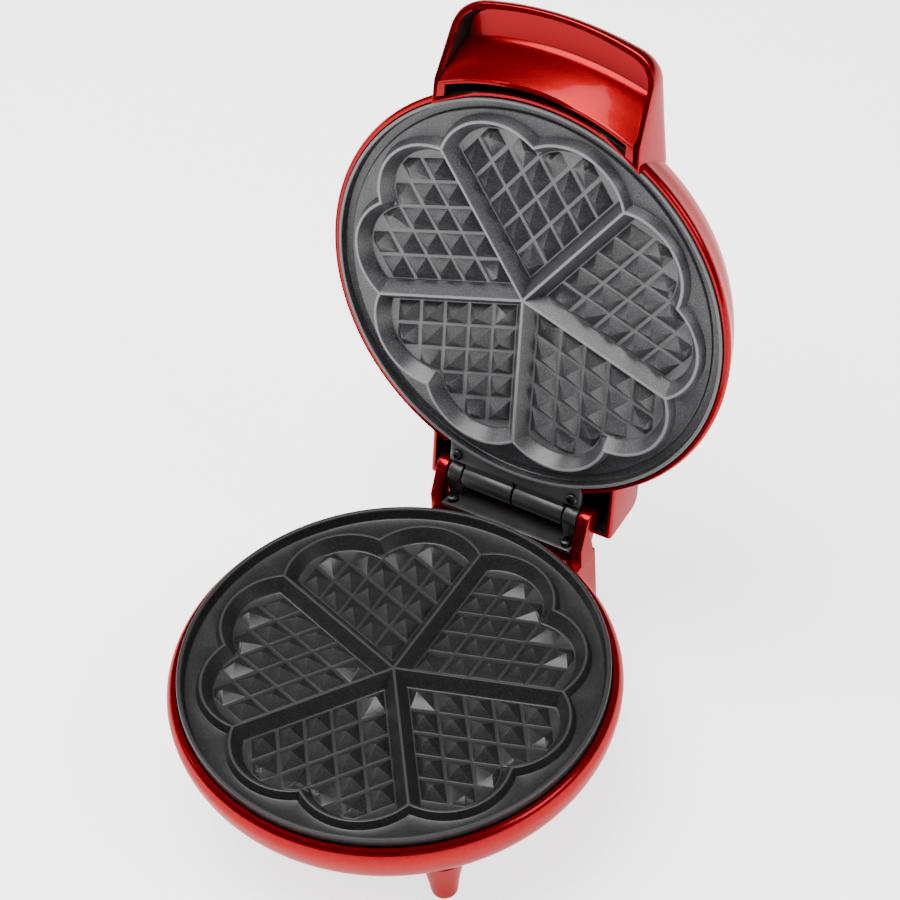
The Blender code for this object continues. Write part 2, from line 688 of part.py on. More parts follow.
def handle_body(inset, foot, roof):
    """Solid of the handle, `inset` inside its outside, from below its rim to under its back."""
    def level(part):
        return lambda y: rim_height(y) + part * (roof_height(y) - roof - rim_height(y))

    lap = HANDLE_LAP if inset == 0.0 else 0.0
    return loft([handle_ring(inset, lap, lambda y: rim_height(y) - foot), handle_ring(inset + 0.3, lap, level(0.3)),
                 handle_ring(inset + 1.4, lap, level(0.66)), handle_ring(inset + 3.0, lap, level(0.87)),
                 handle_ring(inset + 7.0, lap, level(1.0))])


def shroud_body(inset):
    """Solid of the box at the lid's back that hides the hinge."""
    back = 126.0 - inset
    outline = [(70.0, 12.5 - 10.0 * (inset > 0.0)), (back, 12.5 - 10.0 * (inset > 0.0)), (back - 0.6, 18.0),
               (back - 5.0, 36.5 - inset), (back - 9.0, 40.0 - inset), (70.0, 41.0 - inset)]
    half = SHROUD_HALF - inset
    return along_x(outline, -half, half)


def lid_shell(half):
    solid = revolve(LID_OUTER + [(0.0, 0.9)])
    shell = half.add("lid_shell", solid, RED)
    dome = half.tool("dome_keep", revolve([(r + 0.02, z) for r, z in LID_OUTER[:-1]] + [(0.0, 42.52), (0.0, -30.0),
                                                                                       (103.2, -30.0)]))
    join(shell, half.tool("handle_body", handle_body(0.0, 0.0, 0.0)), half.tool("shroud_body", shroud_body(0.0)))
    handle_hollow = half.tool("handle_hollow", handle_body(WALL, 3.0, WALL))
    shroud_hollow = half.tool("shroud_hollow", shroud_body(WALL))
    cut(handle_hollow, dome)
    cut(shroud_hollow, dome)
    hollow = half.tool("dome_hollow", revolve(LID_INNER + [(0.0, -5.0)]))
    flange_slot = half.tool("flange_slot", box((-36.6, 88.0, -2.0), (36.6, 112.0, 9.4)))
    lamps = merged(*[cylinder(x, y, 4.4, 36.0, 46.0, 14) for x, y, _, _ in LAMPS])
    cut(shell, handle_hollow, shroud_hollow, hollow, flange_slot, half.tool("lamp_holes", lamps))


def liner_section(x):
    """Side view of the tray at `x`: floor, crease, steep wall and the lip beside the slot, then back behind it."""
    crease = -121.4 + 0.0034 * x * x
    lip = -math.sqrt(111.3 ** 2 - x * x)
    wall = crease + 1.4
    front = [(-150.0, 21.6), (crease - 1.4, 20.9), (crease, 20.3), (wall, 18.4),
             (wall + 0.36 * (lip - wall), 10.6), (wall + 0.74 * (lip - wall), 3.6), (lip, -0.9), (lip + 1.2, -1.2)]
    back = [(lip + 11.0, -1.2), (lip + 11.0, 0.6), (lip + 2.6, 0.6), (wall + 0.74 * (lip - wall) + 2.1, 4.6),
            (wall + 0.36 * (lip - wall) + 2.1, 11.5), (wall + 2.0, 19.4), (crease + 1.6, 22.2), (crease - 1.0, 23.0),
            (-150.0, 23.7)]
    return [(x, y, z) for y, z in front + back]


def handle_liner(half):
    """Tray that closes the handle's hollow and forms the finger scoop."""
    reach = HANDLE_ROOT_HALF
    liner = half.add("handle_liner", loft([liner_section(-reach + 2.0 * reach * i / 16) for i in range(17)]), RED)
    boolean(liner, half.tool("liner_bounds", handle_body(WALL + LINER_GAP, 8.0, WALL + LINER_GAP)), "INTERSECT")
    plate_side = half.tool("liner_plate_side", cylinder(0.0, 0.0, 104.7, -30.0, 40.0, 72))
    turn = math.degrees(math.asin(SLOT_HALF / SLOT_RADIUS))
    slot = arc((0.0, 0.0), SLOT_RADIUS, -90.0 - turn, -90.0 + turn, 14) + [(SLOT_HALF, -70.0), (-SLOT_HALF, -70.0)]
    cut(liner, plate_side, half.tool("crescent_slot", along_z(slot, -30.0, 40.0)))


def lid_hinge_bracket(half):
    """Black flange behind the plate, with two barrels round the hinge pin."""
    plan = arc((0.0, 0.0), 102.2, 90.0 - 20.4, 90.0 + 20.4, 10) + [(-35.6, 108.0), (35.6, 108.0)]
    bracket = half.add("lid_hinge_bracket", along_z(plan, 5.2, 8.6), BLACK)
    web = [(106.0, 5.6), (HINGE_Y - 3.0, 5.4)] + arc((HINGE_Y, HINGE_Z), BARREL_RADIUS, -130.0, 130.0, 14) + \
          [(106.0, 12.6), (104.4, 8.2)]
    for sign, side in ((1, "right"), (-1, "left")):
        join(bracket, half.tool("barrel_" + side, along_x(web, *sorted((sign * 0.5, sign * BARREL_END)))))
    holes = merged(*[cylinder(sign * HINGE_SCREW_X, LID_SCREW_Y + 3.2, 1.9, 0.0, 12.0, 10) for sign in (1, -1)])
    cut(bracket, half.tool("barrel_bore", rod_x(PIN_RADIUS + GAP, -50.0, 50.0)), half.tool("flange_holes", holes))
    for sign, side in ((1, "right"), (-1, "left")):
        cross_screw(half, "lid_hinge_screw_" + side, sign * HINGE_SCREW_X, LID_SCREW_Y + 3.2, 2.9, 14.0)


def shroud_cover(half):
    """Black inner skin of the shroud, behind the hinge."""
    outline = [(108.0, 36.6), (116.0, 33.6), (121.6, 19.0), (123.0, 14.6), (121.6, 14.2), (120.2, 18.6),
               (114.9, 32.4), (108.0, 35.1)]
    half.add("shroud_cover", along_x(outline, -46.8, 46.8), BLACK)


def lamps(half):
    for x, y, name, finish in LAMPS:
        profile = [(0.0, 44.2), (2.4, 43.8), (3.9, 42.6), (4.0, 39.3), (5.6, 39.2), (5.6, 38.0), (0.0, 38.0)]
        shape = revolve(profile, 14)
        bmesh.ops.translate(shape, vec=(x, y, 0.0), verts=shape.verts)
        half.add(f"{name}_lamp", shape, finish)
    half.add("lamp_board", box((-17.0, -62.0, 34.2), (17.0, -46.0, 35.8)), BOARD)


def lid_half():
    hinge = (0.0, HINGE_Y, HINGE_Z)
    height = MATE_HEIGHT + HINGE_Z
    half = Half(frame_empty("lid_hinge", (0.0, (BASE_Y + HINGE_Y) * MM, height * MM), -OPEN_ANGLE), hinge)
    lid_shell(half)
    handle_liner(half)
    plate = half.add("upper_plate", plate_shape(UPPER_RIM, UPPER_FIELD, True), NONSTICK)
    inner_parts(half, "upper", plate)
    lid_hinge_bracket(half)
    shroud_cover(half)
    lamps(half)


clear_scene()
base_half()
lid_half()
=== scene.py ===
"""Looks of a heart waffle maker standing open: baking plates, casings, handle tray, hinge, screws, finishes.

Shapes are drawn in millimetres around the middle of the lower baking plate, z = 0 where the plates meet, y
towards the hinge and the lid drawn closed. `BASE` and `LID` then put them where the two bodies are.
"""

import math

import bmesh
import bpy
from mathutils import Matrix, Vector
from mathutils.geometry import delaunay_2d_cdt


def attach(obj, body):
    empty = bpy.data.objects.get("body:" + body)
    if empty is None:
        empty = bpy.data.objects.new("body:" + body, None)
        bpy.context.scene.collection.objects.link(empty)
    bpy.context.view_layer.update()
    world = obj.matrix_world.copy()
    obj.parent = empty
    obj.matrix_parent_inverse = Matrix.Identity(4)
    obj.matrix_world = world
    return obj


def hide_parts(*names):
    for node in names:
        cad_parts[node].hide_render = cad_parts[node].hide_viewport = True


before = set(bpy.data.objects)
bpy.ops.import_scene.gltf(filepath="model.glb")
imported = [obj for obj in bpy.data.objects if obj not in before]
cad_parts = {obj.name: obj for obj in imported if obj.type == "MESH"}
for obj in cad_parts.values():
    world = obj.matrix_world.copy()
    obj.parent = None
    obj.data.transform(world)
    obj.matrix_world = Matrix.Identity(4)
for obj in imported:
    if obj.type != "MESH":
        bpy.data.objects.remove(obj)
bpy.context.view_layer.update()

# Where the drawing stands in the room
BASE_Y = -38.45
MATE_HEIGHT = 66.0
HINGE_Y = 116.0
HINGE_Z = 9.0
OPEN_ANGLE = math.radians(101.0)
TO_METRES = Matrix.Scale(0.001, 4)
BASE = TO_METRES @ Matrix.Translation((0.0, BASE_Y, MATE_HEIGHT))
LID = (TO_METRES @ Matrix.Translation((0.0, BASE_Y + HINGE_Y, MATE_HEIGHT + HINGE_Z))
       @ Matrix.Rotation(-OPEN_ANGLE, 4, "X") @ Matrix.Translation((0.0, -HINGE_Y, -HINGE_Z)))

# Baking plates
PLATE_RADIUS = 101.0
HEARTS = 5
HALF_SECTOR = math.pi / HEARTS
NOTCH_RADIUS = 81.4
CUSP_RADIUS = 80.0
LOBE_RADIUS = 30.2
LOBE_STEPS = 22
RIM_STEPS = 32
CAVITY_FLOOR = 5.1
CAVITY_DEPTH = 6.5
PYRAMID_PITCH = 13.5
PYRAMID_HEIGHT = 5.0
LAND_HALF = 0.6
PLATE_BACK = 10.5
PLATE_GAP = 0.4
# Distance from the ridges' middle line, height, and how much lighter the coating is painted there: partly
# rubbed coating, partly painted highlight
RIDGE_EDGE = [(0.42, 0.0, 1.0), (0.58, -0.05, 0.9), (0.7, -0.2, 0.5), (0.84, -0.42, 0.1)]
CAVITY_FOOT = [(4.6, -5.78, 0.0), (4.86, -6.14, 0.0), (5.2, -6.4, 0.0), (5.55, -6.5, 0.25)]
LOWER_RIM = [(101.0, 0.9), (100.86, 1.22), (100.5, 1.45), (100.1, 1.5), (99.4, 1.5), (99.05, 1.4),
             (98.8, 1.1), (98.6, 0.5), (97.8, -3.4), (97.55, -3.8), (97.0, -4.0)]
LOWER_FIELD = -4.0
UPPER_RIM = [(101.0, -2.7), (100.88, -2.4), (100.6, -2.2), (99.7, -2.2), (99.4, -2.35), (99.25, -2.7),
             (98.7, -5.6), (98.4, -5.95), (97.9, -6.0), (95.3, -6.0), (95.0, -5.9), (94.5, -4.85),
             (94.2, -4.62), (93.6, -4.6)]
UPPER_FIELD = -4.6

# Casings
WALL = 2.4
CASING_BORE = 101.6
ROUND_STEPS = 144
SHROUD_HALF = 50.0
CHEEK_START = 36.2
CHEEK_END = 42.0
HOUSING_BACK = 118.0
HOUSING_TOP = -10.0
GLAND_Z = -30.0
GLAND_HOLE = 5.6
FRONT_FEET = [(58.0, -58.0), (-58.0, -58.0)]
REAR_FEET = [(34.0, 107.0), (-34.0, 107.0)]
PAD_RADIUS = 4.2
PAD_TOP = -62.5
LEG_FOOT = [(4.4, -65.2), (5.0, -65.1), (5.6, -64.7), (6.1, -64.0), (6.4, -63.0), (6.6, -61.6)]
COVER_SCREW_TURNS = (0.4, math.pi - 0.4, math.pi + 0.4, -0.4)
COVER_SCREWS = [(65.0 * math.sin(turn), 65.0 * math.cos(turn)) for turn in COVER_SCREW_TURNS]
SCREW_HOLE = 1.9
HINGE_SCREW_X = 31.6
BASE_LEAF_SCREW_Y = 107.4
LID_LEAF_SCREW_Y = 103.4
# Radius and height where a leg meets the casing
FRONT_LEG = (11.5, -36.0)
REAR_LEG = (8.0, -44.0)
LAMP_HOLE = 4.4

# Casing sections, (radius, z)
BASE_OUTER = [(105.2, -4.6), (106.4, -8.0), (106.2, -12.5), (104.8, -18.0), (102.0, -23.5),
              (98.0, -28.5), (92.8, -33.5), (86.5, -38.5), (79.5, -43.4), (73.0, -47.4), (66.0, -48.5)]
BASE_INNER = [(0.0, -60.0), (58.0, -60.0), (58.0, -46.1), (66.0, -46.1), (72.2, -45.0), (78.2, -41.3),
              (85.0, -36.6), (91.2, -31.7), (96.1, -27.0), (99.8, -22.4), (102.4, -17.4), (103.8, -12.2),
              (103.9, -8.2), (CASING_BORE, -5.6), (CASING_BORE, 5.0), (0.0, 5.0)]
LID_OUTER = [(103.2, 3.2), (104.0, 4.4), (103.9, 6.2), (102.4, 9.8), (101.2, 13.0), (99.4, 18.0),
             (97.0, 23.0), (94.2, 28.0), (90.2, 33.0), (85.0, 37.0), (77.0, 40.0), (64.0, 41.6),
             (38.0, 42.3), (0.0, 42.5)]
LID_INNER = [(CASING_BORE, -5.0), (CASING_BORE, 6.0), (100.4, 9.0), (98.9, 12.4), (97.0, 17.4), (94.7, 22.2),
             (91.9, 27.0), (88.2, 31.4), (83.6, 34.9), (76.2, 37.7), (63.8, 39.2), (38.0, 39.9), (0.0, 40.1)]

# Handle: its outside laps into the dome; towards the tip its rim rises and its roof falls
HANDLE_ROOT_Y = -84.0
HANDLE_LAP = 8.0
HANDLE_SHOULDER_Y = -100.0
HANDLE_ROOT_HALF = 53.4
HANDLE_SHOULDER_HALF = 52.2
HANDLE_TIP_HALF = 50.8
HANDLE_TIP_Y = -139.8
TIP_SAG = 4.2
RIM_START = -0.2
RIM_SLOPE = 0.46
ROOF_START = 36.2
ROOF_SLOPE = 0.19
SLOT_RADIUS = 109.7
SLOT_HALF = 46.0
LACQUER_REACH = 2.2
TRAY_GAP = 0.4
TRAY_CREASE_Y = -121.4
TRAY_CREASE_BOW = 0.0034
TRAY_LIP_RADIUS = 111.3
TRAY_SIDE_RADIUS = 104.7
SHROUD_BACK = 126.0
SHROUD_ROOT = 70.0
LAMP_PLACES = [(9.0, -54.0), (-9.0, -54.0)]

# Hinge
PIN_RADIUS = 2.5
BARREL_RADIUS = 6.3
BARREL_END = 27.5
LUG_START = 28.2
LUG_END = 35.4
LID_LEAF_RADIUS = 102.2
LID_LEAF_SPREAD = 20.4
LEAF_TOP = -2.6
GAP = 0.3
HEAD_UP, HEAD_DOWN = 1.0, -1.0


# ---------------------------------------------------------------- finishes

class Finish:
    """A procedural material; its helpers add and link nodes."""

    def __init__(self, name, colour, roughness, metallic=0.0):
        self.material = bpy.data.materials.new(name)
        self.material.use_nodes = True
        self.tree = self.material.node_tree
        self.shader = self.tree.nodes["Principled BSDF"]
        self.set("Base Color", (*colour, 1.0))
        self.set("Roughness", roughness)
        self.set("Metallic", metallic)
        self.place = self.tree.nodes.new("ShaderNodeTexCoord").outputs["Object"]

    def set(self, socket, value):
        self.shader.inputs[socket].default_value = value

    def drive(self, socket, output):
        self.tree.links.new(output, self.shader.inputs[socket])

    def take(self, node, *names):
        """Drive the shader's sockets from a node's outputs of the same names."""
        for name in names:
            self.drive(name, node.outputs[name])

    def use(self, group, **values):
        """Add a shared effect, with its sizes set on the sockets."""
        node = self.tree.nodes.new("ShaderNodeGroup")
        node.node_tree = group
        self.tree.links.new(self.place, node.inputs["Place"])
        for name, value in values.items():
            node.inputs[name.replace("_", " ")].default_value = value
        return node

    def attribute(self, name):
        node = self.tree.nodes.new("ShaderNodeAttribute")
        node.attribute_name = name
        return node.outputs["Fac"]


def node_group(name, kind, inputs, outputs):
    tree = bpy.data.node_groups.new(name, kind)
    for label, socket_type, value in inputs:
        socket = tree.interface.new_socket(label, in_out="INPUT", socket_type=socket_type)
        if value is not None:
            socket.default_value = value
    for label, socket_type in outputs:
        tree.interface.new_socket(label, in_out="OUTPUT", socket_type=socket_type)
    return tree, tree.nodes.new("NodeGroupInput"), tree.nodes.new("NodeGroupOutput")


def shader_group(name, inputs, outputs):
    return node_group(name, "ShaderNodeTree", [("Place", "NodeSocketVector", None)] + inputs, outputs)


def feed(tree, socket, value):
    """Link a socket to another, or set it to a plain value."""
    if hasattr(value, "links"):
        tree.links.new(value, socket)
    else:
        socket.default_value = value


def calculate(tree, operation, *values):
    node = tree.nodes.new("ShaderNodeMath")
    node.operation = operation
    for socket, value in zip(node.inputs, values):
        feed(tree, socket, value)
    return node.outputs["Value"]


def deliver(tree, result, **outputs):
    """Link what a group has worked out to its output node."""
    for name, output in outputs.items():
        tree.links.new(output, result.inputs[name.replace("_", " ")])


def noise(tree, place, scale, detail=2.0):
    node = tree.nodes.new("ShaderNodeTexNoise")
    node.inputs["Scale"].default_value = scale
    node.inputs["Detail"].default_value = detail
    tree.links.new(place, node.inputs["Vector"])
    return node.outputs["Fac"]


def remap(tree, value, low, high, out_low, out_high):
    """Spread `value` from low..high over out_low..out_high; numbers or sockets."""
    node = tree.nodes.new("ShaderNodeMapRange")
    tree.links.new(value, node.inputs["Value"])
    for label, wanted in (("From Min", low), ("From Max", high), ("To Min", out_low), ("To Max", out_high)):
        feed(tree, node.inputs[label], wanted)
    return node.outputs["Result"]


def blend(tree, factor, first, second):
    node = tree.nodes.new("ShaderNodeMix")
    node.data_type = "RGBA"
    for label, wanted in (("Factor", factor), ("A", first), ("B", second)):
        feed(tree, node.inputs[label], wanted)
    return node.outputs["Result"]


def bump(tree, height, strength, distance):
    node = tree.nodes.new("ShaderNodeBump")
    node.inputs["Distance"].default_value = distance
    tree.links.new(height, node.inputs["Height"])
    feed(tree, node.inputs["Strength"], strength)
    return node.outputs["Normal"]


def metal_flake_group():
    """Fine flakes in a lacquer: each cell has its own brightness and tilt."""
    tree, given, result = shader_group(
        "metal_flake",
        [("Colour", "NodeSocketColor", (0.5, 0.0, 0.0, 1.0)),
         ("Flake", "NodeSocketColor", (1.0, 0.1, 0.1, 1.0)), ("Amount", "NodeSocketFloat", 0.3),
         ("Orange Peel", "NodeSocketFloat", 0.04)],
        [("Colour", "NodeSocketColor"), ("Normal", "NodeSocketVector"), ("Coat Normal", "NodeSocketVector")])
    cells = tree.nodes.new("ShaderNodeTexVoronoi")
    cells.inputs["Scale"].default_value = 3600.0
    tree.links.new(given.outputs["Place"], cells.inputs["Vector"])
    grey = tree.nodes.new("ShaderNodeSeparateColor")
    tree.links.new(cells.outputs["Color"], grey.inputs["Color"])
    spark = remap(tree, grey.outputs["Red"], 0.55, 1.0, 0.0, given.outputs["Amount"])
    colour = blend(tree, spark, given.outputs["Colour"], given.outputs["Flake"])
    peel = noise(tree, given.outputs["Place"], 420.0, 1.0)
    deliver(tree, result, Colour=colour, Normal=bump(tree, grey.outputs["Green"], 0.12, 0.00005),
            Coat_Normal=bump(tree, peel, given.outputs["Orange Peel"], 0.0004))
    return tree


def speckle_group():
    """Sprayed coating: fine light specks over a dark ground, with soft mottling and a slight tooth."""
    tree, given, result = shader_group(
        "sprayed_speckle",
        [("Ground", "NodeSocketColor", (0.05, 0.05, 0.05, 1.0)),
         ("Speck", "NodeSocketColor", (0.2, 0.2, 0.2, 1.0)), ("Speck Amount", "NodeSocketFloat", 0.5),
         ("Roughness", "NodeSocketFloat", 0.4), ("Tooth", "NodeSocketFloat", 0.2)],
        [("Colour", "NodeSocketColor"), ("Roughness", "NodeSocketFloat"), ("Normal", "NodeSocketVector")])
    fine = noise(tree, given.outputs["Place"], 2400.0, 1.0)
    broad = noise(tree, given.outputs["Place"], 70.0, 3.0)
    speck = remap(tree, fine, 0.5, 0.72, 0.0, given.outputs["Speck Amount"])
    colour = blend(tree, speck, given.outputs["Ground"], given.outputs["Speck"])
    spread = calculate(tree, "MULTIPLY", given.outputs["Roughness"], remap(tree, broad, 0.3, 0.7, 0.85, 1.15))
    deliver(tree, result, Colour=colour, Roughness=spread,
            Normal=bump(tree, fine, given.outputs["Tooth"], 0.00012))
    return tree


def moulded_group():
    """Moulded plastic or rubber: fine grain and slightly uneven shine."""
    tree, given, result = shader_group(
        "moulded_grain",
        [("Grain", "NodeSocketFloat", 0.2), ("Roughness", "NodeSocketFloat", 0.4)],
        [("Roughness", "NodeSocketFloat"), ("Normal", "NodeSocketVector")])
    grain = noise(tree, given.outputs["Place"], 1500.0, 2.0)
    cloud = noise(tree, given.outputs["Place"], 90.0, 2.0)
    uneven = calculate(tree, "ADD", remap(tree, cloud, 0.3, 0.7, -0.06, 0.06), given.outputs["Roughness"])
    deliver(tree, result, Roughness=uneven, Normal=bump(tree, grain, given.outputs["Grain"], 0.0001))
    return tree


def drawn_metal_group():
    """Drawn or rolled metal: streaks along one direction, with duller smudges."""
    tree, given, result = shader_group(
        "drawn_metal",
        [("Stretch", "NodeSocketVector", (40.0, 2000.0, 2000.0)),
         ("Depth", "NodeSocketFloat", 0.15), ("Roughness", "NodeSocketFloat", 0.3)],
        [("Roughness", "NodeSocketFloat"), ("Normal", "NodeSocketVector")])
    stretched = tree.nodes.new("ShaderNodeVectorMath")
    stretched.operation = "MULTIPLY"
    tree.links.new(given.outputs["Place"], stretched.inputs[0])
    tree.links.new(given.outputs["Stretch"], stretched.inputs[1])
    streak = noise(tree, stretched.outputs["Vector"], 1.0, 2.0)
    smudge = noise(tree, given.outputs["Place"], 60.0, 3.0)
    dull = calculate(tree, "ADD", remap(tree, smudge, 0.35, 0.7, 0.0, 0.16), given.outputs["Roughness"])
    deliver(tree, result, Roughness=dull, Normal=bump(tree, streak, given.outputs["Depth"], 0.00008))
    return tree


METAL_FLAKE = metal_flake_group()
SPECKLE = speckle_group()
MOULDED = moulded_group()
DRAWN_METAL = drawn_metal_group()


def lacquer(name, colour, flake, edge, metallic, roughness, amount):
    """Candy lacquer over metal flake under a clear coat; `edge` tints what it mirrors at a low angle."""
    finish = Finish(name, colour, roughness, metallic)
    coat = finish.use(METAL_FLAKE, Colour=(*colour, 1.0), Flake=(*flake, 1.0), Amount=amount,
                      Orange_Peel=0.03)
    finish.drive("Base Color", coat.outputs["Colour"])
    finish.take(coat, "Normal", "Coat Normal")
    finish.set("Specular Tint", (*edge, 1.0))
    finish.set("Coat Weight", 0.16)
    finish.set("Coat Roughness", 0.06)
    finish.set("Coat IOR", 1.45)
    return finish.material


def nonstick(name, ground, speck, rubbed_and_highlight_colour, roughness, shine, gloss):
    """Sprayed non-stick coating, lighter and shinier on ridges, rims and lands: partly rubbed coating, partly
    painted highlight.
    """
    finish = Finish(name, ground, roughness)
    spray = finish.use(SPECKLE, Ground=(*ground, 1.0), Speck=(*speck, 1.0), Speck_Amount=0.65,
                       Roughness=roughness, Tooth=0.16)
    wear_and_sheen = finish.attribute("wear_and_sheen")
    # Lighter colour on ridges, rims and lands: partly rubbed coating, partly painted highlight
    finish.drive("Base Color", blend(finish.tree, wear_and_sheen, spray.outputs["Colour"], (*rubbed_and_highlight_colour, 1.0)))
    finish.drive("Roughness", remap(finish.tree, wear_and_sheen, 0.0, 1.0, spray.outputs["Roughness"], shine))
    finish.take(spray, "Normal")
    finish.set("Specular IOR Level", gloss)
    return finish.material


def moulded(name, colour, roughness, grain):
    finish = Finish(name, colour, roughness)
    skin = finish.use(MOULDED, Grain=grain, Roughness=roughness)
    finish.take(skin, "Roughness", "Normal")
    return finish.material


def drawn_metal(name, colour, roughness, depth, stretch=(40.0, 2000.0, 2000.0)):
    finish = Finish(name, colour, roughness, 1.0)
    skin = finish.use(DRAWN_METAL, Stretch=stretch, Depth=depth, Roughness=roughness)
    finish.take(skin, "Roughness", "Normal")
    return finish.material


def lens(name, colour):
    finish = Finish(name, colour, 0.12)
    skin = finish.use(MOULDED, Grain=0.05, Roughness=0.12)
    finish.take(skin, "Roughness")
    finish.set("Transmission Weight", 0.55)
    finish.set("IOR", 1.49)
    return finish.material


RED = lacquer("candy_red_lacquer", (0.20, 0.0002, 0.0035), (0.50, 0.003, 0.016), (0.60, 0.07, 0.09),
              0.88, 0.26, 0.3)
TRAY_RED = lacquer("handle_tray_red", (0.21, 0.0002, 0.003), (0.35, 0.0015, 0.006), (0.50, 0.02, 0.03),
                   0.8, 0.26, 0.12)
# One coating in two copies: the lid plate's has lighter specks and lighter rubbed colour as painted light,
# the lower plate's is the darker, shaded copy
LOWER_COATING_SHADED_COPY = nonstick("lower_nonstick_shaded_copy", (0.006, 0.0058, 0.006), (0.05, 0.05, 0.055), (0.03, 0.029, 0.029),
                         0.36, 0.32, 0.35)
UPPER_COATING_LIT_COPY = nonstick("upper_nonstick_lit_copy", (0.009, 0.0085, 0.010), (0.12, 0.117, 0.128), (0.15, 0.15, 0.155),
                         0.36, 0.30, 0.5)
BLACK = moulded("satin_black_plastic", (0.014, 0.014, 0.015), 0.36, 0.12)
# Near-black, darker and duller than the black plastic: painted shade for walls inside cuts and hollows
INNER_SHADE_BLACK = moulded("inner_shade_black", (0.004, 0.004, 0.004), 0.6, 0.2)
FLANGE_GREY = moulded("hinge_flange_black", (0.035, 0.035, 0.037), 0.42, 0.2)
RUBBER = moulded("foot_rubber", (0.02, 0.02, 0.02), 0.8, 0.5)
CERAMIC = moulded("unglazed_ceramic", (0.80, 0.78, 0.72), 0.65, 0.4)
BOARD = moulded("circuit_board", (0.30, 0.20, 0.08), 0.55, 0.2)
STEEL = drawn_metal("plain_steel", (0.55, 0.55, 0.57), 0.26, 0.15)
BLACK_STEEL = drawn_metal("blackened_steel", (0.035, 0.035, 0.038), 0.30, 0.10)
ALUMINIUM = drawn_metal("mill_aluminium", (0.76, 0.77, 0.79), 0.24, 0.2, (1500.0, 30.0, 1500.0))
GREEN_LENS = lens("green_lens", (0.03, 0.45, 0.10))
AMBER_LENS = lens("amber_lens", (0.75, 0.26, 0.02))


# ---------------------------------------------------------------- drawing helpers

def loft(rings):
    """Closed solid through rings of equal point counts, flat at both ends."""
    shape = bmesh.new()
    rows = [[shape.verts.new(point) for point in ring] for ring in rings]
    count = len(rows[0])
    for low, high in zip(rows, rows[1:]):
        for i in range(count):
            j = (i + 1) % count
            shape.faces.new((low[i], low[j], high[j], high[i]))
    shape.faces.new(rows[0][::-1])
    shape.faces.new(rows[-1])
    return shape


def revolve(profile, segments=ROUND_STEPS):
    """Solid of revolution about z from a closed profile of (radius, z); radius 0 is a pole."""
    shape = bmesh.new()
    rows = []
    for radius, z in profile:
        if radius == 0.0:
            rows.append([shape.verts.new((0.0, 0.0, z))] * segments)
            continue
        row = []
        for i in range(segments):
            turn = 2.0 * math.pi * i / segments
            row.append(shape.verts.new((radius * math.sin(turn), -radius * math.cos(turn), z)))
        rows.append(row)
    for low, high in zip(rows, rows[1:] + rows[:1]):
        for i in range(segments):
            j = (i + 1) % segments
            corners = []
            for corner in (low[i], low[j], high[j], high[i]):
                if corner not in corners:
                    corners.append(corner)
            if len(corners) > 2:
                shape.faces.new(corners)
    return shape


def flowing(points, steps=3):
    """A smooth line through all the given points."""
    line = []
    for i in range(len(points) - 1):
        p0, p1, p2, p3 = (Vector(points[max(i - 1, 0)]), Vector(points[i]), Vector(points[i + 1]),
                          Vector(points[min(i + 2, len(points) - 1)]))
        for k in range(steps):
            t = k / steps
            line.append(tuple(0.5 * (2.0 * p1 + (p2 - p0) * t + (2.0 * p0 - 5.0 * p1 + 4.0 * p2 - p3) * t ** 2
                                     + (3.0 * p1 - p0 - 3.0 * p2 + p3) * t ** 3)))
    return line + [tuple(points[-1])]


def box(low, high):
    x0, y0, z0 = low
    x1, y1, z1 = high
    return loft([[(x0, y0, z), (x1, y0, z), (x1, y1, z), (x0, y1, z)] for z in (z0, z1)])


def along_x(outline, x0, x1):
    return loft([[(x, y, z) for y, z in outline] for x in (x0, x1)])


def along_z(outline, z0, z1):
    return loft([[(x, y, z) for x, y in outline] for z in (z0, z1)])


def arc(centre, radius, start, end, steps):
    """Points on a circle, angles in degrees."""
    points = []
    for i in range(steps + 1):
        turn = math.radians(start + (end - start) * i / steps)
        points.append((centre[0] + radius * math.cos(turn), centre[1] + radius * math.sin(turn)))
    return points


def circle(centre, radius, steps):
    return arc(centre, radius, 0.0, 360.0 * (steps - 1) / steps, steps - 1)


def turned_rings(x, y, rings, steps=32):
    """Round solid about a line along z, from (radius, z) pairs."""
    return loft([[(px, py, z) for px, py in circle((x, y), radius, steps)] for radius, z in rings])


def cylinder(x, y, radius, z0, z1, steps=32):
    return turned_rings(x, y, [(radius, z0), (radius, z1)], steps)


def rod_x(rings, steps=48):
    """Round solid about the hinge line, from (radius, x) pairs."""
    return loft([[(x, y, z) for y, z in circle((HINGE_Y, HINGE_Z), radius, steps)] for radius, x in rings])


def loose(mesh, name="body"):
    made = bpy.data.objects.new(name, mesh)
    bpy.context.scene.collection.objects.link(made)
    return made


def with_modifiers(target):
    """The mesh that `target` shows once its modifiers have run."""
    bpy.context.view_layer.update()
    evaluated = target.evaluated_get(bpy.context.evaluated_depsgraph_get())
    return bpy.data.meshes.new_from_object(evaluated)


def body(shape, *finishes):
    """A loose object from a drawing, for combining; its faces keep their finish numbers."""
    bmesh.ops.recalc_face_normals(shape, faces=shape.faces)
    mesh = bpy.data.meshes.new("body")
    shape.to_mesh(mesh)
    shape.free()
    for finish in finishes:
        mesh.materials.append(finish)
    return loose(mesh)


def cut(shape, finish=INNER_SHADE_BLACK):
    """A step that takes `shape` away and leaves its walls in `finish`; by default a near-black that paints
    the shade inside cuts and hollows.
    """
    return "cut", body(shape, finish)


def screw_hole(x, y, z0, z1, steps=32):
    return cut(cylinder(x, y, SCREW_HOLE, z0, z1, steps))


def pin_bore():
    return cut(rod_x([(PIN_RADIUS + GAP, -50.0), (PIN_RADIUS + GAP, 50.0)]))


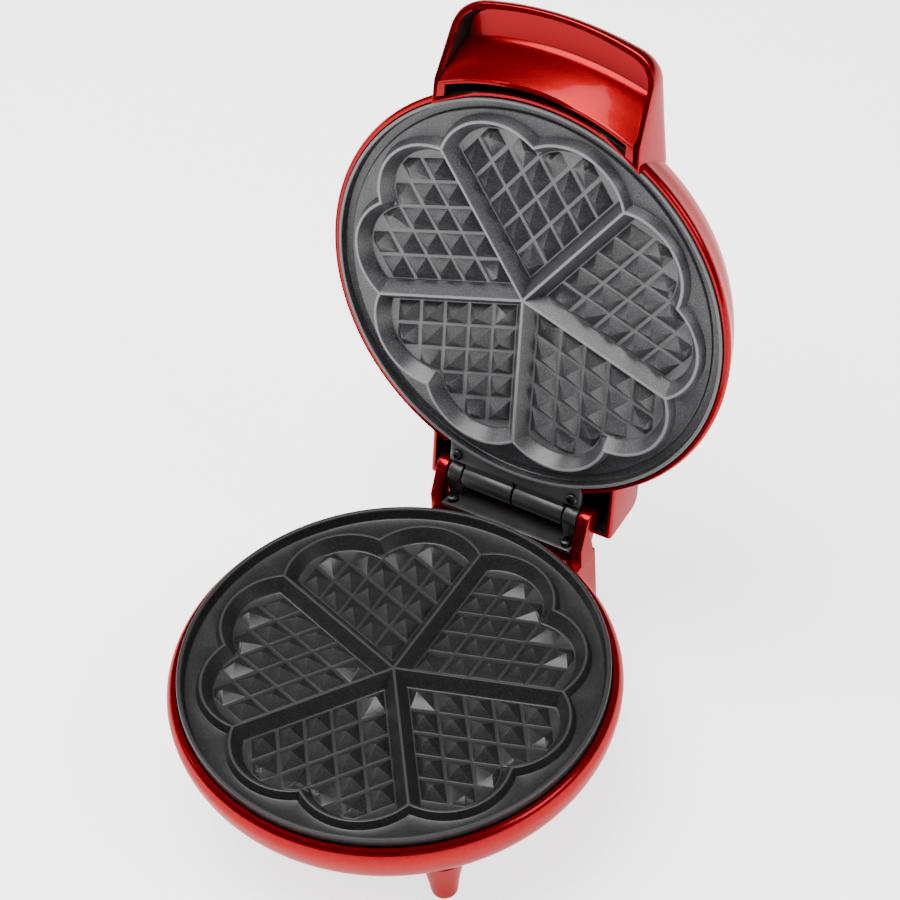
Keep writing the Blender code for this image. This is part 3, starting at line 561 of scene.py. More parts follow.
def combined(target, steps):
    """Join, cut or bound `target` by other bodies in turn, and return the plain body."""
    for operation, tool in steps:
        change = target.modifiers.new(operation, "BOOLEAN")
        change.operation = {"join": "UNION", "cut": "DIFFERENCE", "bound": "INTERSECT"}[operation]
        change.solver = "EXACT"
        change.material_mode = "TRANSFER"
        change.object = tool
    mesh = with_modifiers(target)
    for made in [target] + [tool for _, tool in steps]:
        bpy.data.objects.remove(made, do_unlink=True)
    return loose(mesh)


def softened(target, width, segments=2, angle=40.0):
    """Break the sharp edges of a simple body by a small radius."""
    change = target.modifiers.new("edges", "BEVEL")
    change.width = width
    change.segments = segments
    change.limit_method = "ANGLE"
    change.angle_limit = math.radians(angle)
    return target


def smooth(mesh, angle=35.0):
    mesh.shade_smooth()
    mesh.set_sharp_from_angle(angle=math.radians(angle))


def place(made, name, side, slot, nodes, angle=35.0):
    """Name a finished body, put it where its half of the appliance is and let it stand for its CAD nodes."""
    made.name = name
    made.data.name = name
    made.data.transform(LID if side == "lid" else BASE)
    smooth(made.data, angle)
    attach(made, side)
    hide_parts(*nodes)


# ---------------------------------------------------------------- Geometry Nodes

def node_tree(name, inputs):
    return node_group(name, "GeometryNodeTree", [("Geometry", "NodeSocketGeometry", None)] + inputs,
                      [("Geometry", "NodeSocketGeometry")])


def finished(tree, geometry, given, result):
    """Give the geometry its finish and end the tree there."""
    finish = tree.nodes.new("GeometryNodeSetMaterial")
    tree.links.new(geometry, finish.inputs["Geometry"])
    tree.links.new(given.outputs["Finish"], finish.inputs["Material"])
    tree.links.new(finish.outputs["Geometry"], result.inputs["Geometry"])
    return tree


def round_array_tree():
    """Repeats one sector round z, welds the joints and gives the result its finish."""
    tree, given, result = node_tree("round_array", [("Count", "NodeSocketInt", 5),
                                                    ("Weld Distance", "NodeSocketFloat", 0.01),
                                                    ("Finish", "NodeSocketMaterial", None)])
    link = tree.links.new
    line = tree.nodes.new("GeometryNodeMeshLine")
    line.inputs["Offset"].default_value = (0.0, 0.0, 0.0)
    link(given.outputs["Count"], line.inputs["Count"])
    index = tree.nodes.new("GeometryNodeInputIndex")
    step = calculate(tree, "DIVIDE", 2.0 * math.pi, given.outputs["Count"])
    turn = calculate(tree, "MULTIPLY", index.outputs["Index"], step)
    angle = tree.nodes.new("ShaderNodeCombineXYZ")
    link(turn, angle.inputs["Z"])
    copies = tree.nodes.new("GeometryNodeInstanceOnPoints")
    link(line.outputs["Mesh"], copies.inputs["Points"])
    link(given.outputs["Geometry"], copies.inputs["Instance"])
    link(angle.outputs["Vector"], copies.inputs["Rotation"])
    real = tree.nodes.new("GeometryNodeRealizeInstances")
    link(copies.outputs["Instances"], real.inputs["Geometry"])
    weld = tree.nodes.new("GeometryNodeMergeByDistance")
    link(real.outputs["Geometry"], weld.inputs["Geometry"])
    link(given.outputs["Weld Distance"], weld.inputs["Distance"])
    return finished(tree, weld.outputs["Geometry"], given, result)


def copies_tree():
    """Puts a copy of one body on every point, each turned a little about z, and gives them their finish."""
    tree, given, result = node_tree("copies_on_points", [("Body", "NodeSocketObject", None),
                                                         ("Largest Turn", "NodeSocketFloat", 0.0),
                                                         ("Seed", "NodeSocketInt", 0),
                                                         ("Finish", "NodeSocketMaterial", None)])
    link = tree.links.new
    source = tree.nodes.new("GeometryNodeObjectInfo")
    link(given.outputs["Body"], source.inputs["Object"])
    turn = tree.nodes.new("FunctionNodeRandomValue")
    link(given.outputs["Largest Turn"], turn.inputs[3])
    link(given.outputs["Seed"], turn.inputs["Seed"])
    angle = tree.nodes.new("ShaderNodeCombineXYZ")
    link(turn.outputs[1], angle.inputs["Z"])
    copies = tree.nodes.new("GeometryNodeInstanceOnPoints")
    link(given.outputs["Geometry"], copies.inputs["Points"])
    link(source.outputs["Geometry"], copies.inputs["Instance"])
    link(angle.outputs["Vector"], copies.inputs["Rotation"])
    real = tree.nodes.new("GeometryNodeRealizeInstances")
    link(copies.outputs["Instances"], real.inputs["Geometry"])
    return finished(tree, real.outputs["Geometry"], given, result)


ROUND_ARRAY = round_array_tree()
COPIES = copies_tree()


def baked(target, tree, **values):
    """Run a tree on `target` with its named inputs and return the result as a plain body."""
    change = target.modifiers.new("tree", "NODES")
    change.node_group = tree
    names = {item.name: item.identifier for item in tree.interface.items_tree if item.in_out == "INPUT"}
    for name, value in values.items():
        change[names[name.replace("_", " ")]] = value
    mesh = with_modifiers(target)
    bpy.data.objects.remove(target, do_unlink=True)
    return loose(mesh)


def on_points(points, source, finish, largest_turn, seed):
    """Copies of `source` at the given points."""
    mesh = bpy.data.meshes.new("points")
    mesh.from_pydata(points, [], [])
    result = baked(loose(mesh, "points"), COPIES, Body=source, Largest_Turn=largest_turn, Seed=seed,
                   Finish=finish)
    bpy.data.objects.remove(source, do_unlink=True)
    return result


# ---------------------------------------------------------------- baking plates

def lobe_centre():
    notch = Vector((NOTCH_RADIUS, 0.0))
    cusp = Vector((CUSP_RADIUS * math.cos(HALF_SECTOR), CUSP_RADIUS * math.sin(HALF_SECTOR)))
    chord = cusp - notch
    inward = Vector((-chord.y, chord.x)).normalized()
    rise = math.sqrt(LOBE_RADIUS ** 2 - (chord.length / 2.0) ** 2)
    return (notch + cusp) / 2.0 + inward * rise


LOBE = lobe_centre()


def on_ray(angle, side, radius):
    """Where a line at `angle`, moved `side` off the middle, leaves a lobe circle of `radius`."""
    along = Vector((math.cos(angle), math.sin(angle)))
    start = Vector((math.sin(angle), -math.cos(angle))) * side
    gap = LOBE - start
    reach = gap.dot(along)
    return start + along * (reach + math.sqrt(radius ** 2 - gap.length_squared + reach ** 2))


def lobe_arc(radius, first, last):
    start = math.atan2(first.y - LOBE.y, first.x - LOBE.x)
    end = math.atan2(last.y - LOBE.y, last.x - LOBE.x)
    angles = [start + (end - start) * i / LOBE_STEPS for i in range(LOBE_STEPS + 1)]
    return [(LOBE.x + radius * math.cos(a), LOBE.y + radius * math.sin(a)) for a in angles]


def heart(offset):
    """One heart's outline, `offset` inside the ridges' middle lines, from its point round both lobes."""
    radius = LOBE_RADIUS - offset
    lobe = lobe_arc(radius, on_ray(0.0, 0.0, radius), on_ray(HALF_SECTOR, offset, radius))
    point = [(offset / math.sin(HALF_SECTOR), 0.0)]
    return point + lobe[::-1] + [(u, -v) for u, v in lobe[1:]]


def lobes_outside(offset):
    """The two lobes' outer line from one divider to the other, `offset` outside the ridges' middle line."""
    radius = LOBE_RADIUS + offset
    lobe = lobe_arc(radius, on_ray(0.0, 0.0, radius), on_ray(HALF_SECTOR, 0.0, radius))
    return [(u, -v) for u, v in lobe[::-1]] + lobe[1:]


def clip(subject, cell):
    """The part of a polygon inside a convex cell whose corners run anticlockwise."""
    for (ax, ay), (bx, by) in zip(cell, cell[1:] + cell[:1]):
        kept = []
        for (px, py), (qx, qy) in zip(subject, subject[1:] + subject[:1]):
            p_side = (bx - ax) * (py - ay) - (by - ay) * (px - ax)
            q_side = (bx - ax) * (qy - ay) - (by - ay) * (qx - ax)
            if p_side >= 0.0:
                kept.append((px, py))
            if (p_side >= 0.0) != (q_side >= 0.0):
                part = p_side / (p_side - q_side)
                kept.append((px + (qx - px) * part, py + (qy - py) * part))
        subject = kept
        if len(subject) < 3:
            return []
    return subject


def edge_distance(point, outline):
    nearest = 1.0e9
    for (ax, ay), (bx, by) in zip(outline, outline[1:] + outline[:1]):
        length = math.hypot(bx - ax, by - ay)
        if length > 1.0e-6:
            side = abs((bx - ax) * (point[1] - ay) - (by - ay) * (point[0] - ax)) / length
            nearest = min(nearest, side)
    return nearest


def pyramids():
    """Outline, peak and height of every pyramid in one heart."""
    outline = heart(CAVITY_FLOOR + LAND_HALF)
    if sum(a[0] * b[1] - b[0] * a[1] for a, b in zip(outline, outline[1:] + outline[:1])) < 0.0:
        outline.reverse()
    start = CAVITY_FLOOR / math.sin(HALF_SECTOR)
    inset = LAND_HALF / math.sin(2.0 * HALF_SECTOR)
    slope = PYRAMID_HEIGHT / (PYRAMID_PITCH * math.sin(2.0 * HALF_SECTOR) / 2.0 - LAND_HALF)

    def corner(a, b):
        return (start + (a + b) * math.cos(HALF_SECTOR), (b - a) * math.sin(HALF_SECTOR))

    found = []
    for row in range(6):
        for column in range(6):
            a0, a1 = row * PYRAMID_PITCH + inset, (row + 1) * PYRAMID_PITCH - inset
            b0, b1 = column * PYRAMID_PITCH + inset, (column + 1) * PYRAMID_PITCH - inset
            shape = clip(outline, [corner(a0, b0), corner(a1, b0), corner(a1, b1), corner(a0, b1)])
            if len(shape) < 3:
                continue
            peak = (sum(p[0] for p in shape) / len(shape), sum(p[1] for p in shape) / len(shape))
            height = min(PYRAMID_HEIGHT, slope * edge_distance(peak, shape))
            if height > 2.0:
                found.append((shape, peak, height))
    return found


class Relief:
    """A height map over one sector: lines and peaks, triangulated between them.

    A per-point value says how much lighter the coating is painted along each of them: partly rubbed coating,
    partly painted highlight.
    """

    def __init__(self):
        self.points = []
        self.heights = []
        self.wear_and_sheen = []
        self.edges = []
        self.sides = ([], [])

    def line(self, points, height, wear_and_sheen=0.0, closed=True):
        first, count = len(self.points), len(points)
        self.points += [Vector(point) for point in points]
        self.heights += [height] * count
        self.wear_and_sheen += [wear_and_sheen] * count
        self.edges += [(first + i, first + (i + 1) % count) for i in range(count if closed else count - 1)]
        return first

    def across(self, points, height, wear_and_sheen=0.0):
        """A line from one cut side of the sector to the other."""
        first = self.line(points, height, wear_and_sheen, closed=False)
        self.sides[0].append(first)
        self.sides[1].append(first + len(points) - 1)

    def peak(self, point, height, first, count):
        tip = self.line([point], height, 0.0, closed=False)
        self.edges += [(first + i, tip) for i in range(count)]

    def sector(self, rim_count, back_profile):
        """Triangulate, then close the rim's outside and the back; the two cut sides stay open."""
        for side in self.sides:
            side.sort(key=lambda index: self.points[index].length)
            self.edges += list(zip(side, side[1:]))
        points, _, faces, origin, _, _ = delaunay_2d_cdt(self.points, self.edges, [], 1, 1.0e-4, True)
        shape = bmesh.new()
        # Per-point lightening of the coating: partly rubbed coating, partly painted highlight
        wear_and_sheen_layer = shape.verts.layers.float.new("wear_and_sheen")
        verts = []
        for place_in_plan, source in zip(points, origin):
            made = shape.verts.new((place_in_plan.x, place_in_plan.y, self.heights[source[0]]))
            made[wear_and_sheen_layer] = self.wear_and_sheen[source[0]]
            verts.append(made)
        at = {source: i for i, sources in enumerate(origin) for source in sources}
        cut_sides = [{at[i] for i in side} for side in self.sides]
        for face in faces:
            if not any(side.issuperset(face) for side in cut_sides):
                shape.faces.new([verts[i] for i in face])
        ring = [verts[at[i]] for i in range(rim_count)]
        for radius, z in back_profile:
            below = [shape.verts.new((*(v.co.xy.normalized() * radius), z)) for v in ring]
            for i in range(rim_count - 1):
                shape.faces.new((ring[i], below[i], below[i + 1], ring[i + 1]))
            ring = below
        middle = shape.verts.new((0.0, 0.0, back_profile[-1][1]))
        for i in range(rim_count - 1):
            shape.faces.new((ring[i], middle, ring[i + 1]))
        return shape


def plate_sector(rim, field):
    """One heart with its share of the rim; the heart's axis runs along +x here."""
    relief = Relief()
    spread = math.degrees(HALF_SECTOR)
    for radius, height in rim:
        # The rim's raised top is painted lighter: partly rubbed coating, partly painted highlight
        wear_and_sheen = 0.55 if height > rim[0][1] else 0.0
        relief.across(arc((0.0, 0.0), radius, -spread, spread, RIM_STEPS), height, wear_and_sheen)
    middle = relief.line([(0.0, 0.0)], 0.0, 1.0, closed=False)
    for side in relief.sides:
        side.append(middle)
    ridge_foot = [(2.9, field, 0.0), (2.45, field + 0.12, 0.0), (2.2, field + 0.5, 0.0)]
    for offset, height, wear_and_sheen in ridge_foot + RIDGE_EDGE[::-1]:
        relief.across(lobes_outside(offset), height, wear_and_sheen)
    for offset, height, wear_and_sheen in RIDGE_EDGE + CAVITY_FOOT:
        relief.line(heart(offset), height, wear_and_sheen)
    for outline, peak, height in pyramids():
        foot = -CAVITY_DEPTH
        # Lands round each pyramid's foot are painted lighter: partly rubbed coating, partly painted highlight
        for part, rise, wear_and_sheen in ((0.0, 0.0, 0.35), (0.05, 0.02, 0.1), (0.12, 0.10, 0.0), (0.93, 0.925, 0.0)):
            ring = [(x + (peak[0] - x) * part, y + (peak[1] - y) * part) for x, y in outline]
            first = relief.line(ring, foot + height * rise, wear_and_sheen)
        relief.peak(peak, foot + height * 0.96, first, len(outline))
    return relief.sector(RIM_STEPS + 1, [(PLATE_RADIUS, -3.4), (PLATE_RADIUS - 0.3, -3.9),
                                         (PLATE_RADIUS - 4.0, -PLATE_BACK)])


def baking_plate(name, side, rim, field, coating, node):
    shape = plate_sector(rim, field)
    bmesh.ops.rotate(shape, matrix=Matrix.Rotation(-math.pi / 2.0, 3, "Z"), verts=shape.verts)
    if side == "lid":
        bmesh.ops.scale(shape, vec=(1.0, 1.0, -1.0), verts=shape.verts)
        bmesh.ops.translate(shape, vec=(0.0, 0.0, PLATE_GAP), verts=shape.verts)
    plate = baked(body(shape, coating), ROUND_ARRAY, Count=HEARTS, Weld_Distance=0.004, Finish=coating)
    outward = bmesh.new()
    outward.from_mesh(plate.data)
    bmesh.ops.recalc_face_normals(outward, faces=outward.faces)
    outward.to_mesh(plate.data)
    outward.free()
    place(plate, name, side, "nonstick", [node], 22.0)


# ---------------------------------------------------------------- base

def cheek_outline():
    eye = arc((HINGE_Y, HINGE_Z), 6.5, 170.0, -75.0, 36)
    return [(103.8, -14.0), (103.8, -1.0)] + eye + [(114.6, -2.0), (116.6, -14.0)]


def base_casing():
    lip = [(103.2, -3.3), (103.35, -3.05), (103.7, -3.0)]
    side = flowing(BASE_OUTER[:-1], 4)
    outside = lip + [(104.6, -3.7)] + side + [BASE_OUTER[-1]]
    housing = body(box((-CHEEK_END, 60.0, -46.5), (CHEEK_END, HOUSING_BACK, HOUSING_TOP)), RED)
    steps = [("join", softened(housing, 1.2, 4))]
    for sign in (1, -1):
        cheek = body(along_x(cheek_outline(), *sorted((sign * CHEEK_START, sign * CHEEK_END))), RED)
        steps.append(("join", softened(cheek, 0.5, 3)))
    ankle, ankle_z = LEG_FOOT[-1]
    for feet, (top_radius, top) in ((FRONT_FEET, FRONT_LEG), (REAR_FEET, REAR_LEG)):
        for x, y in feet:
            rings = LEG_FOOT + [(ankle + (top_radius - ankle) * t ** 1.3, ankle_z + (top - ankle_z) * t)
                                for t in (0.2, 0.4, 0.6, 0.8, 1.0)]
            steps.append(("join", body(turned_rings(x, y, rings, 40), RED)))
    hollow = box((-CHEEK_END + WALL, 50.0, -44.1),
                 (CHEEK_END - WALL, HOUSING_BACK - WALL, HOUSING_TOP - WALL))
    pocket = box((-CHEEK_START, 102.9, -5.3), (CHEEK_START, 130.0, 20.0))
    gland_edge = circle((0.0, 0.0), GLAND_HOLE, 32)
    gland = loft([[(x, y, z + GLAND_Z) for x, z in gland_edge] for y in (112.0, 122.0)])
    for shape in (revolve(BASE_INNER), hollow, pocket, gland):
        steps.append(cut(shape))
    for sign in (1, -1):
        steps.append(screw_hole(sign * HINGE_SCREW_X, BASE_LEAF_SCREW_Y, -20.0, 0.0, 16))
    for x, y in COVER_SCREWS:
        steps.append(screw_hole(x, y, -52.0, -44.0, 16))
    for x, y in FRONT_FEET + REAR_FEET:
        steps.append(cut(cylinder(x, y, PAD_RADIUS + GAP, -70.0, PAD_TOP + GAP), RED))
    solid = revolve([(0.0, -3.3)] + outside + [(0.0, BASE_OUTER[-1][1])])
    place(combined(body(solid, RED), steps), "base_casing", "base", "red_lacquer", ["base_shell"])


def foot_pads():
    rings = [(PAD_RADIUS - 0.5, -MATE_HEIGHT), (PAD_RADIUS - 0.15, -MATE_HEIGHT + 0.1),
             (PAD_RADIUS, -MATE_HEIGHT + 0.4), (PAD_RADIUS, PAD_TOP)]
    for (x, y), name in zip(FRONT_FEET + REAR_FEET, ("front_right", "front_left", "rear_right", "rear_left")):
        pad = on_points([(x, y, 0.0)], body(turned_rings(0.0, 0.0, rings, 40), RUBBER), RUBBER, 0.0, 1)
        place(pad, "pad_" + name, "base", "rubber", ["foot_pad_" + name])


# ---------------------------------------------------------------- lid

def rim_height(y):
    return RIM_START + RIM_SLOPE * max(0.0, HANDLE_SHOULDER_Y - y)


def roof_height(y):
    return ROOF_START + ROOF_SLOPE * (y - HANDLE_ROOT_Y)


def handle_plan(inset, lap):
    """Half of the handle's plan from its root to the middle of its tip; its outside laps into the dome."""
    side = HANDLE_TIP_HALF - inset
    tip = HANDLE_TIP_Y + inset
    start, control = Vector((side, tip + 17.0)), Vector((side - 0.8, tip + 6.8))
    end = Vector((side - 12.0, tip + TIP_SAG))
    root = Vector((HANDLE_ROOT_HALF - inset, HANDLE_ROOT_Y + lap))
    shoulder = Vector((HANDLE_SHOULDER_HALF - inset, HANDLE_SHOULDER_Y))
    points = [tuple(root.lerp(shoulder, i / 6)) for i in range(6)]
    points += [tuple(shoulder.lerp(start, i / 8)) for i in range(8)]
    for i in range(17):
        t = i / 16
        corner = start * (1 - t) ** 2 + control * 2 * t * (1 - t) + end * t * t
        points.append((corner.x, corner.y))
    for i in range(1, 13):
        x = end.x * (1 - i / 12)
        points.append((x, tip + TIP_SAG * (x / end.x) ** 2))
    return points


def handle_ring(inset, height, lap=0.0):
    half = handle_plan(inset, lap)
    return [(x, y, height(y)) for x, y in half + [(-x, y) for x, y in half[-2::-1]]]


def handle_levels(roof):
    def level(part):
        return lambda y: rim_height(y) + part * (roof_height(y) - roof - rim_height(y))
    return level


def from_rim(rise):
    return lambda y: rim_height(y) + rise


def handle_outside():
    """The handle's solid: rounded rim, bulging sides, rounded back edge."""
    level = handle_levels(0.0)
    rings = [(0.55, from_rim(0.0)), (0.22, from_rim(0.12)), (0.06, from_rim(0.4)), (0.0, from_rim(0.9)),
             (0.3, level(0.3)), (0.75, level(0.5)), (1.4, level(0.66)), (2.1, level(0.78)),
             (3.0, level(0.87)), (4.3, level(0.94)), (5.8, level(0.985)), (7.4, level(1.0))]
    return loft([handle_ring(inset, height, HANDLE_LAP) for inset, height in rings])


def handle_hollow():
    """What is taken out of the handle: lacquered for the first millimetres, near-black further in as painted
    shade for its dark inside.
    """
    level = handle_levels(WALL)
    rings = [(WALL - 1.2, from_rim(-3.0)), (WALL - 0.62, from_rim(-0.02)), (WALL - 0.3, from_rim(0.1)),
             (WALL - 0.1, from_rim(0.36)), (WALL, from_rim(0.9)), (WALL + 0.02, from_rim(3.4)),
             (WALL + 0.35, level(0.5)), (WALL + 1.4, level(0.72)), (WALL + 3.0, level(0.88)),
             (WALL + 7.0, level(1.0))]
    shape = loft([handle_ring(inset, height) for inset, height in rings])
    shape.verts.ensure_lookup_table()
    for face in shape.faces:
        middle = face.calc_center_median()
        # Deeper than the lacquer's reach the walls get the near-black painted shade
        face.material_index = 0 if middle.z < rim_height(middle.y) + LACQUER_REACH else 1
    return shape


def shroud_body(inset):
    """Solid of the box at the lid's back that hides the hinge."""
    back = SHROUD_BACK - inset
    foot = 12.5 - 10.0 * (inset > 0.0)
    outline = [(SHROUD_ROOT, foot), (back, foot), (back - 0.6, 18.0), (back - 5.0, 36.5 - inset),
               (back - 9.0, 40.0 - inset), (SHROUD_ROOT, 41.0 - inset)]
    half = SHROUD_HALF - inset
    return along_x(outline, -half, half)


def lid_casing():
    lip = [(102.9, 3.5), (102.95, 3.25), (103.2, 3.15)]
    outside = lip + flowing(LID_OUTER, 3)
    keep = [(r + 0.02, z) for r, z in outside[2:-1]] + [(0.0, 42.52), (0.0, -30.0), (103.22, -30.0)]
    handle_inside = combined(body(handle_hollow(), RED, INNER_SHADE_BLACK), [cut(revolve(keep))])
    shroud_inside = combined(body(shroud_body(WALL), INNER_SHADE_BLACK), [cut(revolve(keep))])
    steps = [("join", body(handle_outside(), RED)),
             ("join", softened(body(shroud_body(0.0), RED), 1.6, 4, 30.0)),
             ("cut", handle_inside), ("cut", shroud_inside),
             cut(revolve(LID_INNER + [(0.0, -5.0)])),
             cut(box((-36.6, 88.0, -2.0), (36.6, 112.0, 9.4)))]
    for x, y in LAMP_PLACES:
        steps.append(cut(cylinder(x, y, LAMP_HOLE, 36.0, 46.0), RED))
    solid = revolve(outside + [(0.0, 3.5)])
    place(combined(body(solid, RED), steps), "lid_casing", "lid", "red_lacquer", ["lid_shell"])


def tray_section(x):
    """Side view of the tray at `x`: floor, crease, hollowed wall, the lip beside the slot, then its back."""
    crease = TRAY_CREASE_Y + TRAY_CREASE_BOW * x * x
    lip = -math.sqrt(TRAY_LIP_RADIUS ** 2 - x * x)
    wall = crease + 1.4
    upper, lower = wall + 0.36 * (lip - wall), wall + 0.74 * (lip - wall)
    past_tip = -150.0
    front = [(past_tip, 21.6), (crease - 1.4, 20.9), (crease - 0.5, 20.75), (crease, 20.3),
             (crease + 0.8, 19.4)]
    front += flowing([(wall, 18.4), (upper, 10.6), (lower, 3.6), (lip, -0.7)], 5)
    front += [(lip + 0.35, -1.05), (lip + 1.0, -1.2)]
    back = [(lip + 11.0, -1.2), (lip + 11.0, 0.6), (lip + 2.6, 0.6), (lower + 2.1, 4.6), (upper + 2.1, 11.5),
            (wall + 2.0, 19.4), (crease + 1.6, 22.2), (crease - 1.0, 23.0), (past_tip, 23.7)]
    return [(x, y, z) for y, z in front + back]


def handle_tray():
    level = handle_levels(WALL + TRAY_GAP)
    inset = WALL + TRAY_GAP
    bounds = loft([handle_ring(inset, from_rim(-8.0)), handle_ring(inset + 0.3, level(0.3)),
                   handle_ring(inset + 1.4, level(0.66)), handle_ring(inset + 3.0, level(0.87)),
                   handle_ring(inset + 7.0, level(1.0))])
    turn = math.degrees(math.asin(SLOT_HALF / SLOT_RADIUS))
    slot = arc((0.0, 0.0), SLOT_RADIUS, -90.0 - turn, -90.0 + turn, 64)
    slot += [(SLOT_HALF, -70.0), (-SLOT_HALF, -70.0)]
    reach = HANDLE_ROOT_HALF
    tray = loft([tray_section(-reach + 2.0 * reach * i / 56) for i in range(57)])
    plate_side = cylinder(0.0, 0.0, TRAY_SIDE_RADIUS, -30.0, 40.0, ROUND_STEPS)
    made = combined(body(tray, TRAY_RED), [("bound", body(bounds, TRAY_RED)), cut(plate_side),
                                           cut(along_z(slot, -30.0, 40.0))])
    place(made, "handle_tray", "lid", "liner_red", ["handle_liner"], 30.0)


# ---------------------------------------------------------------- hinge

def barrel(sign):
    """One knuckle round the pin, its ends rounded."""
    first, last = 0.5, BARREL_END
    rings = [(BARREL_RADIUS - 0.7, first), (BARREL_RADIUS - 0.2, first + 0.2), (BARREL_RADIUS, first + 0.7),
             (BARREL_RADIUS, last - 0.7), (BARREL_RADIUS - 0.2, last - 0.2), (BARREL_RADIUS - 0.7, last)]
    return rod_x([(radius, sign * x) for radius, x in rings])


def lid_bracket():
    plan = arc((0.0, 0.0), LID_LEAF_RADIUS, 90.0 - LID_LEAF_SPREAD, 90.0 + LID_LEAF_SPREAD, 32)
    plan += [(-35.6, 108.0), (35.6, 108.0)]
    flange = softened(body(along_z(plan, 5.2, 8.6), FLANGE_GREY), 0.4)
    web = [(106.0, 5.6), (HINGE_Y - 3.0, 5.4), (HINGE_Y, HINGE_Z), (HINGE_Y - 3.0, 12.8), (106.0, 12.6),
           (104.4, 8.2)]
    steps = []
    for sign in (1, -1):
        steps.append(("join", body(along_x(web, *sorted((sign * 0.9, sign * (BARREL_END - 0.4)))), BLACK)))
        steps.append(("join", body(barrel(sign), BLACK)))
    steps.append(pin_bore())
    for sign in (1, -1):
        steps.append(screw_hole(sign * HINGE_SCREW_X, LID_LEAF_SCREW_Y, 0.0, 12.0))
    place(combined(flange, steps), "lid_hinge_leaf", "lid", "black_plastic", ["lid_hinge_bracket"])


def base_bracket():
    leaf = softened(body(box((-LUG_END, 103.3, -5.0), (LUG_END, 119.0, LEAF_TOP)), BLACK), 0.4)
    lug = arc((HINGE_Y, HINGE_Z), BARREL_RADIUS, 190.0, -76.0, 36)
    lug = [(111.0, LEAF_TOP - 1.0)] + lug + [(116.9, LEAF_TOP - 1.0)]
    steps = []
    for sign in (1, -1):
        ear = body(along_x(lug, *sorted((sign * LUG_START, sign * (LUG_END - 0.1)))), BLACK)
        steps.append(("join", softened(ear, 0.5, 3, 60.0)))
    steps.append(pin_bore())
    for sign in (1, -1):
        steps.append(screw_hole(sign * HINGE_SCREW_X, BASE_LEAF_SCREW_Y, -10.0, 0.0))
    place(combined(leaf, steps), "base_hinge_leaf", "base", "black_plastic", ["base_hinge_bracket"])


def cross_screw(length, up):
    """Pan-head screw along z with a cross recess; the head's top is at z = 0 and faces the way `up` says."""
    rings = [(0.0001, 0.0), (1.2, -0.02), (2.1, -0.18), (2.65, -0.5), (2.95, -1.0), (3.0, -1.8), (1.6, -1.9)]
    level = -2.4
    while level > -length + 1.0:
        rings += [(1.6, level), (1.28, level - 0.3), (1.6, level - 0.6)]
        level -= 0.7
    rings += [(1.2, -length + 0.5), (0.6, -length)]
    screw = body(turned_rings(0.0, 0.0, [(r, z * up) for r, z in rings], 28), STEEL)
    low, high = sorted((-1.1 * up, 0.5 * up))
    first = box((-1.55, -0.33, low), (1.55, 0.33, high))
    second = box((-0.33, -1.55, low + 0.01), (0.33, 1.55, high + 0.01))
    return combined(screw, [cut(first, STEEL), cut(second, STEEL)])


def screws():
    """Two in each hinge leaf and four in the bottom cover, each turned its own way."""
    for sign, side in ((1, "right"), (-1, "left")):
        spot = (sign * HINGE_SCREW_X, BASE_LEAF_SCREW_Y, 0.2)
        base = on_points([spot], cross_screw(11.7, HEAD_UP), BLACK_STEEL, 1.2, 3 + sign)
        place(base, "base_leaf_screw_" + side, "base", "black_screw", ["base_hinge_screw_" + side])
        spot = (sign * HINGE_SCREW_X, LID_LEAF_SCREW_Y, 2.9)
        lid = on_points([spot], cross_screw(11.1, HEAD_DOWN), BLACK_STEEL, 1.2, 9 + sign)
        place(lid, "lid_leaf_screw_" + side, "lid", "black_screw", ["lid_hinge_screw_" + side])
    for number, (x, y) in enumerate(COVER_SCREWS):
        made = on_points([(x, y, -53.5)], cross_screw(10.5, HEAD_DOWN), STEEL, 1.5, 20 + number)
        place(made, f"cover_screw_{number + 1}", "base", "steel", [f"bottom_screw_{number + 1}"])


# ---------------------------------------------------------------- CAD pieces that stay

KEPT = {
    BLACK: ("bottom_cover", "cable_gland", "shroud_cover"),
    STEEL: ("hinge_pin", "lower_heater", "upper_heater", "lower_heater_clip", "upper_heater_clip",
            "lower_plate_screw", "upper_plate_screw", "lower_thermostat", "upper_thermostat"),
    ALUMINIUM: ("lower_reflector", "upper_reflector"),
    CERAMIC: ("terminal_block", "thermal_fuse"),
    BOARD: ("lamp_board",),
    GREEN_LENS: ("green_lamp",),
    AMBER_LENS: ("amber_lamp",),
}


def finish_kept_pieces():
    for name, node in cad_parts.items():
        for finish, starts in KEPT.items():
            if name.startswith(starts):
                node.data.materials.clear()
                node.data.materials.append(finish)


# ---------------------------------------------------------------- studio

# Name, place, what it points at, size (all in metres) and power in watts
LIGHTS = [("overhead", (-0.3, -0.2, 1.8), (0.0, 0.0, 0.0), 1.3, 62.0),
          ("left", (-1.6, -0.3, 1.0), (0.0, 0.0, 0.15), 0.8, 14.0),
          ("right", (1.5, 0.2, 1.3), (0.0, 0.0, 0.15), 0.9, 16.0)]
SURROUNDINGS = 0.15
PAPER_GLOW = 2.2
FLOOR_REACH = 4.0
CAMERA_TURN = math.radians(33.52)
CAMERA_RISE = math.radians(45.80)
CAMERA_ROLL = math.radians(-4.205)
CAMERA_TARGET = Vector((26.91, 20.0 + BASE_Y, 139.58 + MATE_HEIGHT))
CAMERA_DISTANCE = 1400.0
CAMERA_LENS = 129.4
CAMERA_SENSOR = 36.0


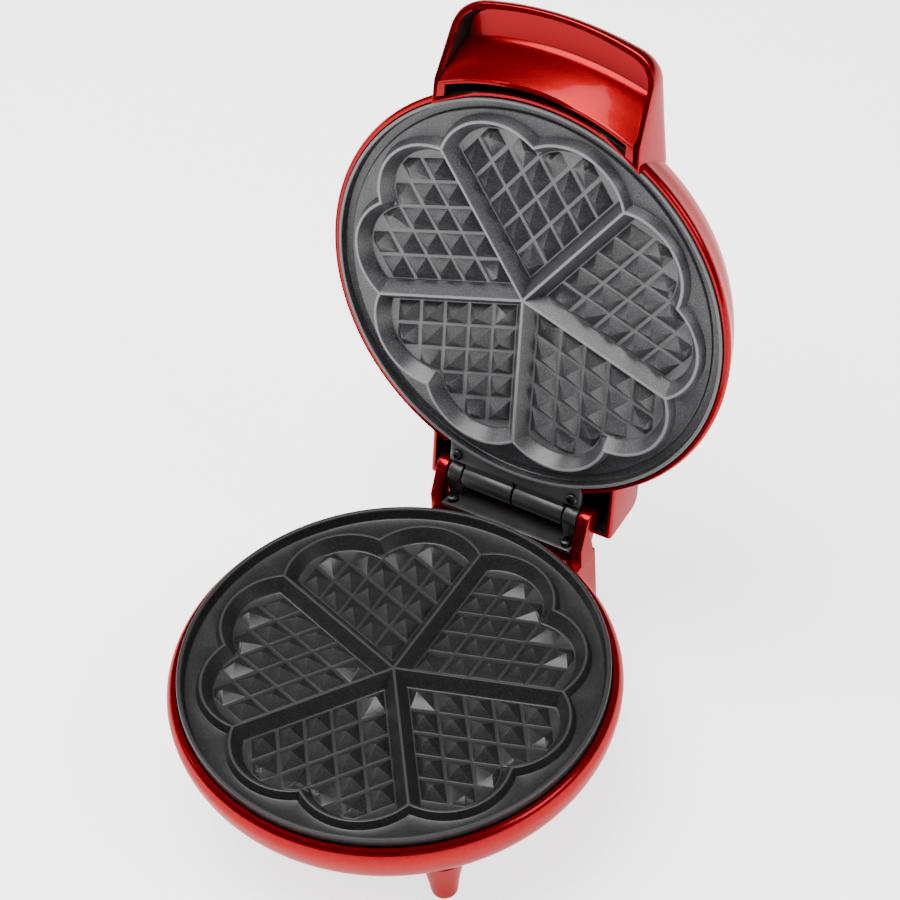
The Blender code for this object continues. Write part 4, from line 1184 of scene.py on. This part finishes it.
def studio():
    """White paper floor that glows a little, dim surroundings and three soft boxes."""
    floor_mesh = bmesh.new()
    bmesh.ops.create_grid(floor_mesh, x_segments=1, y_segments=1, size=FLOOR_REACH)
    floor = body(floor_mesh)
    floor.name = "floor"
    paper = Finish("white_paper", (0.93, 0.93, 0.93), 0.9)
    skin = paper.use(MOULDED, Grain=0.02, Roughness=0.9)
    paper.take(skin, "Roughness")
    paper.set("Emission Color", (1.0, 1.0, 1.0, 1.0))
    paper.set("Emission Strength", PAPER_GLOW)
    floor.data.materials.append(paper.material)
    world = bpy.data.worlds.new("studio")
    world.use_nodes = True
    glow = world.node_tree.nodes["Background"].inputs
    glow["Color"].default_value = (1.0, 1.0, 1.0, 1.0)
    glow["Strength"].default_value = SURROUNDINGS
    bpy.context.scene.world = world
    for name, spot, aim, size, power in LIGHTS:
        light = bpy.data.lights.new(name, "AREA")
        light.energy = power
        light.size = size
        lamp = bpy.data.objects.new(name, light)
        lamp.location = spot
        lamp.rotation_euler = (Vector(aim) - Vector(spot)).to_track_quat("-Z", "Y").to_euler()
        bpy.context.scene.collection.objects.link(lamp)


def camera():
    turn, rise, roll = CAMERA_TURN, CAMERA_RISE, CAMERA_ROLL
    back = Vector((math.sin(turn) * math.cos(rise), -math.cos(turn) * math.cos(rise), math.sin(rise)))
    right = Vector((math.cos(turn), math.sin(turn), 0.0))
    up = back.cross(right)
    rolled_right = right * math.cos(roll) + up * math.sin(roll)
    rolled_up = up * math.cos(roll) - right * math.sin(roll)
    lens_data = bpy.data.cameras.new("camera")
    lens_data.lens = CAMERA_LENS
    lens_data.sensor_width = CAMERA_SENSOR
    made = bpy.data.objects.new("camera", lens_data)
    matrix = Matrix((rolled_right, rolled_up, back)).transposed().to_4x4()
    matrix.translation = (CAMERA_TARGET + CAMERA_DISTANCE * back) * 0.001
    made.matrix_world = matrix
    bpy.context.scene.collection.objects.link(made)
    bpy.context.scene.camera = made


baking_plate("lower_baking_plate", "base", LOWER_RIM, LOWER_FIELD, LOWER_COATING_SHADED_COPY, "lower_plate")
baking_plate("upper_baking_plate", "lid", UPPER_RIM, UPPER_FIELD, UPPER_COATING_LIT_COPY, "upper_plate")
base_casing()
foot_pads()
lid_casing()
handle_tray()
lid_bracket()
base_bracket()
screws()
finish_kept_pieces()
studio()
camera()
